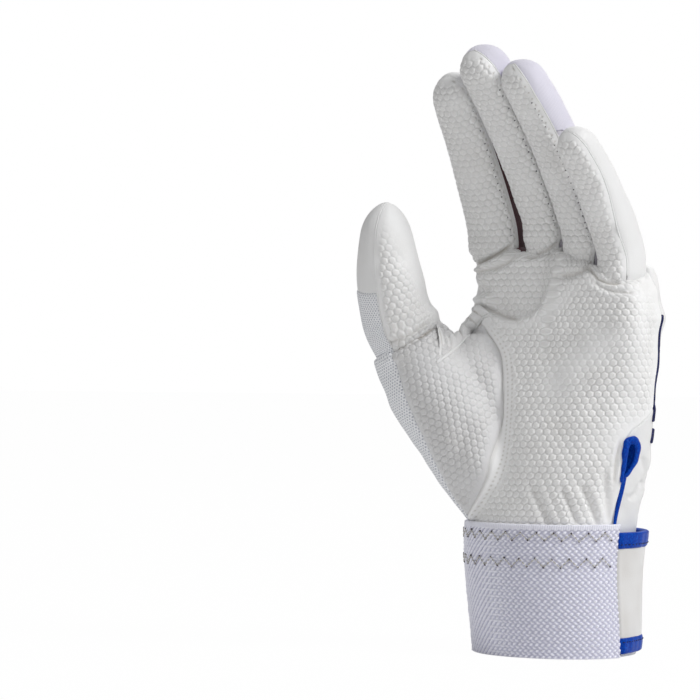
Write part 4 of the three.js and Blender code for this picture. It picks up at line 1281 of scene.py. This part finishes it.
# %% Thumb panels
THUMB_NET_END = 24.0
runs = digit_runs(DIGITS["thumb"], -12.0)
THUMB_FOLDS = [
    ([(408, 322), (428, 314), (452, 306)], 9.0, -1.4, 0.0),
    ([(392, 330), (406, 322), (420, 312), (432, 300)], 7.0, 0.5, 0.0),
    ([(374, 262), (388, 262), (404, 254)], 8.0, 0.5, 0.0),
    ([(384, 345), (399, 340), (414, 333), (430, 322)], 2.6, 0.8, 0.3),
]


def thumb_emboss(run, points):
    across, down = in_picture(points).T
    lower = 0.35 + 0.65 * smooth((down - 215) / 70)
    toward_left = smooth((381 + 0.52 * (down - 209) - across) / 20)
    return lower * (0.15 + 0.85 * toward_left) * (1 - smooth((run - 53) / 4))


def thumb_piece(name, node, start, runs, finish, slot, **more):
    """A half of the thumb, from one seam to the other."""
    low = np.full(len(runs), start)
    digit_piece(name, node, "thumb", low, low + math.pi, runs, finish, slot, **more)


thumb_piece("thumb_front_skin", "thumb_front", math.pi, runs, finger_leather, "embossed_leather",
            emboss_at=thumb_emboss, folds=THUMB_FOLDS)
past_net = runs - THUMB_NET_END + 0.6
upper, lower = past_net > 0, past_net < 1.4
thumb_piece("thumb_back_skin", "thumb_back", 0.0, runs[upper], smooth_leather, "smooth_leather",
            under=0.7 * (1 - smooth(past_net[upper] / 0.8)))
thumb_piece("thumb_net_skin", "thumb_mesh", 0.0, runs[lower], thumb_net, "mesh_fabric",
            under=-0.3 + 1.4 * smooth(past_net[lower] / 1.2))

# %% [markdown]
# ## Cords
# Welts, pipings, bindings and stitches are all long round things. One helper lays a tube along a
# path of points, with rounded ends, and another walks a row of single stitches along a path.


# %% Tubes and stitches
CORD_UP = np.array([0.3, -0.9, 0.3])
THREAD_SIDES = 6


def spread(path, step):
    """Evenly spaced points on a smooth curve through a path."""
    path = np.asarray(path, float)
    run = run_along(path)
    return curve_at(np.linspace(0, run[-1], max(3, int(run[-1] / step) + 1)), run, path)


def tube_rings(path, radius, sides=10, flat=1.0, up=None, closed=False):
    """Rings round a path. `up` gives the way in which the tube is flattened."""
    if closed:
        way = np.roll(path, -1, axis=0) - np.roll(path, 1, axis=0)
    else:
        way = np.gradient(path, axis=0)
    way = unit(way)
    up = np.broadcast_to(CORD_UP if up is None else up, path.shape)
    side = unit(np.cross(way, up))
    up = np.cross(side, way)
    angle = full_turn(sides)[None, :, None]
    radius = np.broadcast_to(radius, len(path))[:, None, None]
    return (path[:, None] + side[:, None] * np.cos(angle) * radius
            + up[:, None] * np.sin(angle) * radius * flat)


def tube(name, path, radius, finish, body, nodes=(), sides=10, flat=1.0, up=None,
         closed=False):
    """A cord with rounded ends, or a closed one."""
    radius = np.broadcast_to(radius, len(path)).astype(float)
    if not closed:
        first, last = unit(path[0] - path[1]), unit(path[-1] - path[-2])
        first, last = first * radius[0] * 0.6, last * radius[-1] * 0.6
        path = np.concatenate([[path[0] + first, path[0] + first * 0.7], path,
                               [path[-1] + last * 0.7, path[-1] + last]])
        radius = np.concatenate([radius[0] * np.array([0.1, 0.7]), radius,
                                 radius[-1] * np.array([0.7, 0.1])])
        if up is not None and np.ndim(up) > 1:
            up = np.concatenate([up[:1], up[:1], up, up[-1:], up[-1:]])
    rings = tube_rings(path, radius, sides, flat, up, closed)
    faces = grid_faces(len(rings) + closed, sides, closed=True) % (len(rings) * sides)
    across = np.arange(sides) * (TURN / sides) * radius.mean()
    laid = np.broadcast_arrays(across[None, :], run_along(rings.mean(1))[:, None])
    return piece(name, rings.reshape(-1, 3), faces, finish, body, nodes,
                 np.stack(laid, -1).reshape(-1, 2))


def threads(name, rings, finish, body=None):
    """One piece of many short threads, each a tube with the same count of rings."""
    rings = np.stack(rings)
    rows, sides = rings.shape[1:3]
    shifts = np.arange(len(rings))[:, None, None] * rows * sides
    faces = (grid_faces(rows, sides, closed=True) + shifts).reshape(-1, 4)
    return piece(name, rings.reshape(-1, 3), faces, finish, body)


def stitch_row(name, path, out, finish, body, length, gap, radius):
    """A row of short threads that dip into the surface at both ends."""
    run = run_along(path)
    lift = radius * (1.6 * np.sin(np.linspace(0, math.pi, 6)) - 0.7)
    thick = radius * np.array([0.5, 0.9, 1, 1, 0.9, 0.5])
    rings = []
    for start in np.arange(gap, run[-1] - length, length + gap):
        at = start + np.linspace(0, length, 6)
        ways = path_at(at, run, out)
        line = path_at(at, run, path) + ways * lift[:, None]
        rings.append(tube_rings(line, thick, THREAD_SIDES, up=ways[0]))
    threads(name, rings, finish, body)


def cast(start, way):
    """Where a straight line meets the skin, and the way out there."""
    hit, out, _, _ = skin_tree.ray_cast(Vector(start), Vector(way))
    return np.array(hit), np.array(out)


def at_depth(spot, depth):
    """The point seen at a spot of the picture, at a depth towards the camera."""
    way = sight_line(spot)
    return camera_place + way * ((CAMERA_DISTANCE - depth) / -(way @ toward_camera))


def path_on_skin(spots, step, lift):
    """A path of picture spots, laid on the skin and lifted off it. It bridges any gap."""
    spots = spread(spots, step)
    hits = [cast(camera_place, sight_line(spot)) for spot in spots]
    found = np.array([way.ndim > 0 for _, way in hits])
    place = np.arange(len(spots))
    depths = [hit @ toward_camera for (hit, _), there in zip(hits, found) if there]
    depths = np.interp(place, place[found], depths)
    path = np.stack([at_depth(spot, depth) for spot, depth in zip(spots, depths)])
    out = np.stack([way if there else toward_camera for (_, way), there in zip(hits, found)])
    for _ in range(2):
        for line in (out, path):
            line[1:-1] = (line[:-2] + line[1:-1] * 2 + line[2:]) / 4
    out = unit(out)
    return path + out * lift, out


# %% [markdown]
# ## The knitted cuff
# The cuff is a band of coarse knitted elastic. Its loops stand out as small slanting bumps in rows,
# which are real relief here. The hem at the top is a finer rib. A band is made from sections round
# its wall: up the outside, over the top edge, down the inside and round the bottom edge.


# %% Bands round the wrist
def band(name, angles, low, high, inner, outer, rows, finish, body, node, relief=None,
         lean=None, rounding=0.5):
    """A closed band between two heights and two offsets, given per angle in degrees."""
    low, high, inner, outer = (np.broadcast_to(side, len(angles)).astype(float)
                               for side in (low, high, inner, outer))
    turn = np.linspace(0, math.pi, 7)[1:-1]
    share_out = np.linspace(0, 1, rows)
    share_in = np.linspace(1, 0, max(4, rows // 8))
    run = run_along(hand_point(20.0, np.radians(angles), outer.mean()))
    rings, laid, deep = [], [], []
    for k, degree in enumerate(angles):
        half = (outer[k] - inner[k]) / 2
        middle = (outer[k] + inner[k]) / 2
        soft = rounding * half
        foot, top = low[k] + soft, high[k] - soft
        z_out = foot + (top - foot) * share_out
        rise = relief(np.full(rows, run[k]), z_out) if relief else np.zeros(rows)
        z = np.concatenate([z_out, top + soft * np.sin(turn), foot + (top - foot) * share_in,
                            foot - soft * np.sin(turn)])
        offset = np.concatenate([outer[k] + rise, middle + half * np.cos(turn),
                                 np.full(len(share_in), inner[k]), middle - half * np.cos(turn)])
        if lean:
            offset = offset + lean(z, degree)
        rings.append(hand_point(z, math.radians(degree), offset))
        laid.append(np.stack([np.full(len(z), run[k]), z], 1))
        # painted shade: the colour darkens where the relief sinks, in the valleys of the knit and
        # the hollows of the strap
        dark = np.clip(0.3 - rise * 1.4, 0, 1) * (relief is not None)
        deep.append(np.concatenate([dark, np.zeros(len(z) - rows)]))
    rings = np.stack(rings)
    columns = rings.shape[1]
    behind = columns - rows
    ends = []
    for base, flip in ((0, 1), ((len(rings) - 1) * columns, -1)):
        for k in range(rows - 1):
            a, b = (base + columns - 1 - min(behind - 1, int(step * behind / rows))
                    for step in (k, k + 1))
            ends.append([base + k, base + k + 1, b, a][::flip])
    faces = np.concatenate([grid_faces(len(rings), columns, closed=True), ends])
    piece(name, rings.reshape(-1, 3), faces, finish, body, [node], np.concatenate(laid),
          {"wear_and_shade": np.concatenate(deep)})


KNIT_WIDE = 2.5
KNIT_TALL = 1.22
HEM_FOOT = 50.2
HEM_PITCH = 0.9
CUFF_TOP = 52.6


def knit_relief(run, z):
    """Slanting bumps in offset rows, a fine rib at the hem, long slants towards the thumb."""
    row = np.floor(z / KNIT_TALL)
    v = z - (row + 0.5) * KNIT_TALL
    shifted = run + 0.5 * KNIT_WIDE * np.mod(row, 2)
    u = np.mod(shifted, KNIT_WIDE) - KNIT_WIDE / 2
    thumb_side = 1 - smooth((run - 58) / 24)
    odd = np.mod(row, 2) * (1 - thumb_side)
    lean = 0.79 - 1.35 * odd
    along = u * np.cos(lean) + v * np.sin(lean)
    beside = v * np.cos(lean) - u * np.sin(lean)
    bump = np.exp(-((along / (0.78 + 0.9 * thumb_side)) ** 2) - (beside / 0.46) ** 2)
    bump *= 0.95 - 0.2 * odd + 0.25 * unevenness(np.stack([run, run * 0, z], 1), 2.2, 61)
    hem = 0.5 + 0.5 * np.sin(run * TURN / HEM_PITCH)
    in_hem = smooth((z - HEM_FOOT) / 0.8)
    return (bump * 0.66 - 0.22) * (1 - in_hem) + (hem * 0.34 - 0.02) * in_hem


band("cuff_skin", np.linspace(126, 346, 560), 0.0, CUFF_TOP, 0.4, 1.85, 205, cuff_knit, "hand",
     "cuff_elastic", relief=knit_relief)

# %% [markdown]
# Two zigzag rows of dark thread hold the elastic to the glove. Each zigzag is a path on the outside
# of the cuff, walked with single stitches.

# %% Zigzag stitches
ZIGZAGS = [(46.3, 49.3), (36.0, 39.2)]
ZIGZAG_PERIOD = 3.4
for k, (foot, top) in enumerate(ZIGZAGS):
    fine = np.linspace(math.radians(128), math.radians(344), 900)
    run = run_along(hand_point(40.0, fine, 2.0))
    corners = np.arange(0, run[-1], ZIGZAG_PERIOD)
    corner_angle = np.interp(corners, run, fine)
    corner_z = np.where(np.arange(len(corners)) % 2 == 0, foot, top)
    corner_z = corner_z + unevenness(np.stack([corners] * 3, 1), 20, 31 + k) * 0.25
    walk = np.linspace(0, len(corners) - 1, 700)
    angle, z = (np.interp(walk, np.arange(len(corners)), line) for line in (corner_angle, corner_z))
    path = hand_point(z, angle, 2.12)
    out = hand_point(z, angle, 3.12) - path
    stitch_row(f"cuff_zigzag_{k + 1}", path, out, pale_thread, "hand", 1.25, 0.5, 0.3)
    dots = [tube_rings(hand_point(np.linspace(height - 0.45, height + 0.45, 4), turn, 2.2),
                       np.array([0.08, 0.4, 0.4, 0.08]), THREAD_SIDES)
            for turn, height in zip(corner_angle, corner_z)]
    threads(f"cuff_needle_{k + 1}", dots, grey_thread, "hand")

# %% [markdown]
# ## The strap and what it closes on
# The strap starts at the little-finger side, lies round the back of the wrist and lifts a little as
# it goes. Its two edges are bound in blue leather. Under it lie the plain wrist flap and the loop
# patch, and the hook patch is on the strap itself. All of these are bands of the same kind.

# %% Strap, flap and tapes
STRAP_ROOT, STRAP_END, STRAP_RISE_OVER = -15.5, 146, 88
STRAP_FOOT, STRAP_TOP, STRAP_THICK = 1.4, 49.2, 1.8
STRAP_CORNER, STRAP_CORNER_SPAN = 5, 9
BINDING_REACH = 6.4


def strap_offset(angles):
    """The strap rises as it goes round, and its root is tucked under the elastic."""
    rise = 2.2 * smooth((angles + 12.5) / STRAP_RISE_OVER)
    return 0.4 + rise - 1.6 * smooth((-11.0 - angles) / 4.5)


def strap_corner(angles):
    """How far the strap's edges draw in at its rounded end."""
    share = np.clip((angles - STRAP_END + STRAP_CORNER_SPAN) / STRAP_CORNER_SPAN, 0, 1)
    return STRAP_CORNER * (1 - np.sqrt(1 - share ** 2))


def strap_lean(z, degree):
    """The strap stands off the wrist more at its top than at its foot."""
    tilt = 1.5 - 2.9 * (STRAP_TOP - z) / (STRAP_TOP - STRAP_FOOT)
    return tilt * smooth((degree + 13) / 22)


def strap_relief(run, z):
    spots = np.stack([run, run * 0.3, z], 1)
    return unevenness(spots, 24, 51) * 0.18 + unevenness(spots, 9, 52) * 0.06


angles = np.linspace(STRAP_ROOT, STRAP_END, 260)
inner = strap_offset(angles)
drawn = 0.8 + strap_corner(angles)
band("strap_skin", angles, STRAP_FOOT + drawn, STRAP_TOP - drawn, inner, inner + STRAP_THICK, 90,
     smooth_leather, "strap", "strap_tab", relief=strap_relief, lean=strap_lean)
band("flap_skin", np.linspace(-9, 129, 94), 0.2, 40.4, -1.1, -0.05, 40, smooth_leather, "hand",
     "wrist_flap", lean=lambda z, degree: -1.4 * smooth((z - 36) / 2.4))
angles = np.linspace(78, 112, 40)
inner = strap_offset(angles)
band("loop_tape_skin", angles, 9, 33, 0.1, 1.0, 24, loop_finish, "hand", "loop_patch")
band("hook_tape_skin", angles, 9, 33, inner - 0.95, inner - 0.1, 24, hook_finish, "strap",
     "hook_patch", lean=strap_lean)


def binding(name, node, edge, way):
    """A strip folded over one edge of the strap: outside, round the edge and back inside."""
    angles = np.linspace(STRAP_ROOT + 1, STRAP_END, 240)
    turn = np.linspace(0, math.pi, 15)
    swell = 0.2 * np.sin(np.linspace(0, math.pi, 9))
    swell[0] -= 0.35
    rings = []
    for k, degree in enumerate(angles):
        tip = edge - way * strap_corner(degree)
        inner = strap_offset(degree)
        outer = inner + STRAP_THICK
        middle = (inner + outer) / 2
        half = (outer - inner) / 2 + 0.55
        puff = swell + 0.12 * math.sin(k * 0.35) * math.sin(k * 0.11)
        outside_z = tip - way * np.linspace(BINDING_REACH, 1.0, 9)
        curve_z = tip - way * (1.0 - np.sin(turn))
        inside_z = tip - way * np.linspace(1.0, BINDING_REACH, 6)
        z = np.concatenate([outside_z, curve_z[1:-1], inside_z, inside_z[::-1], curve_z[-2:0:-1],
                            outside_z[::-1]])
        offset = np.concatenate([outer + 0.5 + puff, middle + half * np.cos(turn[1:-1]),
                                 np.full(6, inner - 0.4), np.full(6, inner - 0.05),
                                 middle + (half - 0.4) * np.cos(turn[-2:0:-1]),
                                 np.full(9, outer + 0.05)])
        rings.append(hand_point(z, math.radians(degree), offset + strap_lean(z, degree)))
    rings = np.stack(rings)
    rows, columns = rings.shape[:2]
    caps = [[base + k, base + k + 1, base + columns - 2 - k, base + columns - 1 - k]
            for base in (0, (rows - 1) * columns) for k in range(columns // 2 - 1)]
    laid = np.stack([np.repeat(np.arange(rows) * 0.6, columns),
                     np.tile(np.arange(columns) * 0.5, rows)], 1)
    faces = np.concatenate([grid_faces(rows, columns, closed=True), caps])
    piece(name, rings.reshape(-1, 3), faces, blue_leather, "strap", [node], laid)
    angles = np.linspace(STRAP_ROOT + 2, STRAP_END - 1.5, 400)
    z = edge - way * (BINDING_REACH - 1.6 + strap_corner(angles))
    offset = strap_offset(angles) + STRAP_THICK + 0.62 + strap_lean(z, angles)
    path = hand_point(z, np.radians(angles), offset)
    out = hand_point(z, np.radians(angles), offset + 1) - path
    stitch_row(f"{name}_stitches", path, out, blue_thread, "strap", 1.3, 0.8, 0.2)


binding("strap_top_binding", "strap_binding_top", STRAP_TOP, 1)
binding("strap_foot_binding", "strap_binding_bottom", STRAP_FOOT, -1)

# %% [markdown]
# ## The wrist slit and the piping
# The drop-shaped slit is bound with a roll of blue leather, thick at its top and thin at its foot.
# Inside it the leather folds in to a narrow opening, closed behind by a dark maroon sheet that is
# painted shade, the dark inside of the opening. A flat blue tail runs down from it to the cuff. The
# navy piping lies along the little-finger side, above the slit, and a short end of it shows lower
# down.


# %% Slit and piping
def side_hits(heights, places):
    """The skin on the little-finger side at some heights and places in y, and the ways out."""
    hits = [cast((70, y, z), (-1, 0, 0)) for z, y in zip(heights, places)]
    return np.array(hits).transpose(1, 0, 2)


slit_turn = full_turn(72)
slit_z = SLIT_MIDDLE + (SLIT_TALL + 0.8) * np.cos(slit_turn)
slit_y = (SLIT_WIDE + 0.8) * np.sin(slit_turn) * (0.62 + 0.38 * np.cos(slit_turn)) / 0.85
slit_path, slit_out = side_hits(slit_z, side_seam(50.0, slit_z) + slit_y + slit_side(slit_z))
slit_way = unit(slit_out.mean(0))
roll_size = 1.2 + 0.5 * np.cos(slit_turn) + 0.1 * np.sin(slit_turn * 9)
tube("slit_roll", slit_path + slit_way * 0.45, roll_size, blue_leather, "hand", ["slit_binding"],
     sides=14, flat=0.8, up=slit_way, closed=True)

centre = slit_path.mean(0)
funnel = []
for share in np.linspace(0, 1, 9):
    shrink = np.array([1 - 0.56 * share, 1 - 0.56 * share, 1 - 0.16 * share])
    ripple = 0.18 * np.sin(slit_turn * 11 + share * 2)[:, None] * share
    sunk = slit_way * (0.9 * math.cos(share * 1.9) - 2.4 * share + ripple)
    funnel.append(centre + (slit_path - centre) * shrink + sunk)
piece("slit_inner_fold", np.concatenate(funnel), grid_faces(9, 72, closed=True)[:, ::-1],
      blue_leather, "hand")
rim = funnel[-1]
# a dark maroon sheet closes the opening: painted shade, the dark inside of the slit
bottom = [rim.mean(0) + (rim - rim.mean(0)) * size - slit_way * (1 - size) * 0.6
          for size in (1, 0.6, 0.25, 0.03)]
piece("slit_shade_sheet", np.concatenate(bottom), grid_faces(4, 72, closed=True)[:, ::-1], slit_shade_finish,
      "hand")
SLIT_TAIL = [(623.5, 478), (621, 492), (618, 505), (615.8, 516), (614.2, 527)]
tail_path, tail_out = path_on_skin(SLIT_TAIL, 1.5, 0.25)
tube("slit_tail", tail_path, np.linspace(1.15, 0.6, len(tail_path)), blue_leather, "hand",
     ["slit_binding_tail"], flat=0.55, up=tail_out)

PIPINGS = [
    ("side_piping_cord", np.linspace(134.2, 93.0, 40), np.full(40, 4.5), 0.3, ["side_piping"],
     "navy_piping"),
    ("side_piping_tail", np.linspace(89.5, 84.6, 12), np.linspace(5.8, 3.6, 12), 0.2, (), None),
]
for name, heights, places, lift, nodes, slot in PIPINGS:
    path, out = side_hits(heights, places)
    tube(name, path + out * lift, 0.8, navy_cord, "hand", nodes, flat=0.9, up=out)

# %% [markdown]
# ## The web of the thumb
# Between the thumb and the index finger the leather is gathered: a narrow sheet with pleats, which
# are pinched together at the rim. Its foot is sewn to the palm with a pale welt. The sheet is a
# grid between its rim and its foot, both placed where the picture shows them.

# %% Web and crotch
WEB_RIM = [(435, 324), (441, 330), (447, 334), (453, 335), (459, 330), (465, 322), (472, 312),
           (479, 305)]
WEB_FOOT = [(437, 362), (447, 355), (457, 347), (467, 336), (477, 325), (483, 318), (491, 314)]
# the share of the way along the rim, the depth and the width of each gather
GATHERS = [(0.05, 0.9, 0.03), (0.14, 1.0, 0.03), (0.23, 0.8, 0.035), (0.35, 0.5, 0.03),
           (0.47, 0.75, 0.035), (0.6, 0.5, 0.03), (0.73, 0.8, 0.035), (0.87, 0.9, 0.03)]
rim_spots = spread(WEB_RIM, 1.2)
start, end = (cast(camera_place, sight_line(spot))[0] @ toward_camera
              for spot in ((438, 332), (480, 309)))
share = np.linspace(0, 1, len(rim_spots))
depths = start + (end - start) * share - 3.5 * np.sin(math.pi * share)
rim = np.stack([at_depth(spot, depth) for spot, depth in zip(rim_spots, depths)])
foot, _ = path_on_skin(WEB_FOOT, 1.2, -0.4)
fine = np.linspace(0, 1, 180)
rim, foot = (curve_at(fine, np.linspace(0, 1, len(line)), line) for line in (rim, foot))
sheet_way = unit(np.cross(np.gradient(rim, axis=0), foot - rim))
sheet_way *= np.sign(sheet_way @ toward_camera)[:, None]
pleats = np.ones(len(fine))
for place, deep, width in GATHERS:
    pleats -= deep * np.exp(-np.abs(fine - place) / width)
ease = smooth(fine / 0.12) * smooth((1 - fine) / 0.06)
columns = np.concatenate([[-0.16, -0.1, -0.04], np.linspace(0, 1, 34)])
grid = []
for column in columns:
    inside = max(column, 0)
    back = min(column, 0)
    fold = (pleats - 0.6) * 2.0 * ease * (0.25 + 0.75 * (1 - inside) ** 0.8)
    bow = math.sin(math.pi * inside)
    rolled = 9 * back + 0.6 * math.cos(back * 9)
    pinch = (pleats - 0.5) * 0.09 * ease * (1 - inside) ** 2
    line = rim + (foot - rim) * (inside + 0.5 * abs(back) - pinch)[:, None]
    grid.append(line + sheet_way * (fold + bow + rolled)[:, None])
web_points = np.concatenate(grid)
web_faces = grid_faces(len(columns), len(fine))
if (normals_of(web_points, web_faces) @ toward_camera).sum() < 0:
    web_faces = web_faces[:, ::-1]
# painted shade in the slits of the gathers, strongest towards the rim
worn_and_shaded = np.outer(np.clip(1.2 - columns, 0, 1), (1 - smooth((pleats - 0.1) / 0.5)) * 0.8)
piece("web_sheet", web_points, web_faces, smooth_leather, "hand", ["web_gusset"],
      marks={"wear_and_shade": worn_and_shaded.ravel()})
welt, welt_out = path_on_skin(WEB_FOOT, 1.5, 0.15)
tube("web_welt", welt, 0.7, smooth_leather, "hand", flat=0.8, up=welt_out)

crotch = []
for y in np.linspace(-5.5, 9.5, 40):
    for x in np.linspace(-19.5, -10.5, 16):
        hit, _ = cast((x, y, 175), (0, 0, -1))
        drop = 1.4 * (abs(x + 15) / 4.5) ** 4 + 1.5 * (1 - smooth(min(y + 5.5, 9.5 - y) / 3))
        crotch.append(hit + UP * (0.45 - drop))
# the strip takes the gusset knit's dark maroon almost fully: painted shade deep in the crotch
# between index and middle finger
piece("crotch_strip", np.array(crotch), grid_faces(40, 16)[:, ::-1], gusset_knit, "hand",
      ["crotch_gusset"], marks={"wear_and_shade": np.full(640, 0.95)})

# %% [markdown]
# ## Welts of the digits
# Along both seams of a digit the edge of one panel stands out as a thin pale line, which runs up
# one side, over the tip and down the other. It follows the digit's bent shape, as its panels do.
# Three of the fingers also show a row of grey stitches beside the seam.

# %% Digit welts
STITCHED = ("index", "middle", "ring")
for name, digit in DIGITS.items():
    runs = digit_runs(digit, -3.0)[::2]
    radial = digit_point(digit, runs, math.pi - seam_at(digit, runs, 0), -0.22)
    ulnar = digit_point(digit, runs, seam_at(digit, runs, 1), -0.22)
    path = np.concatenate([radial, ulnar[::-1]])
    path = path[np.concatenate([[True], np.diff(run_along(path)) > 0.05])]
    bend_on(tube(f"{name}_welt", spread(path, 0.6), 0.36, smooth_leather, None, sides=8))
    if name in STITCHED:
        runs = np.arange(3.0, digit["length"] - 12, 3.0)
        angle = seam_angle(digit, runs, digit["seams"][1]) - 0.34
        spots = digit_point(digit, runs, angle, 0.12)
        onward = digit_point(digit, runs + 0.3, angle, 0.12) - spots
        out = digit_point(digit, runs, angle, 1.12) - spots
        rings = [tube_rings(spot + np.outer([-1, -0.4, 0.4, 1], way),
                            np.array([0.06, 0.3, 0.3, 0.06]), THREAD_SIDES, 0.6, up)
                 for spot, way, up in zip(spots, onward, out)]
        bend_on(threads(f"{name}_stitches", rings, grey_thread))
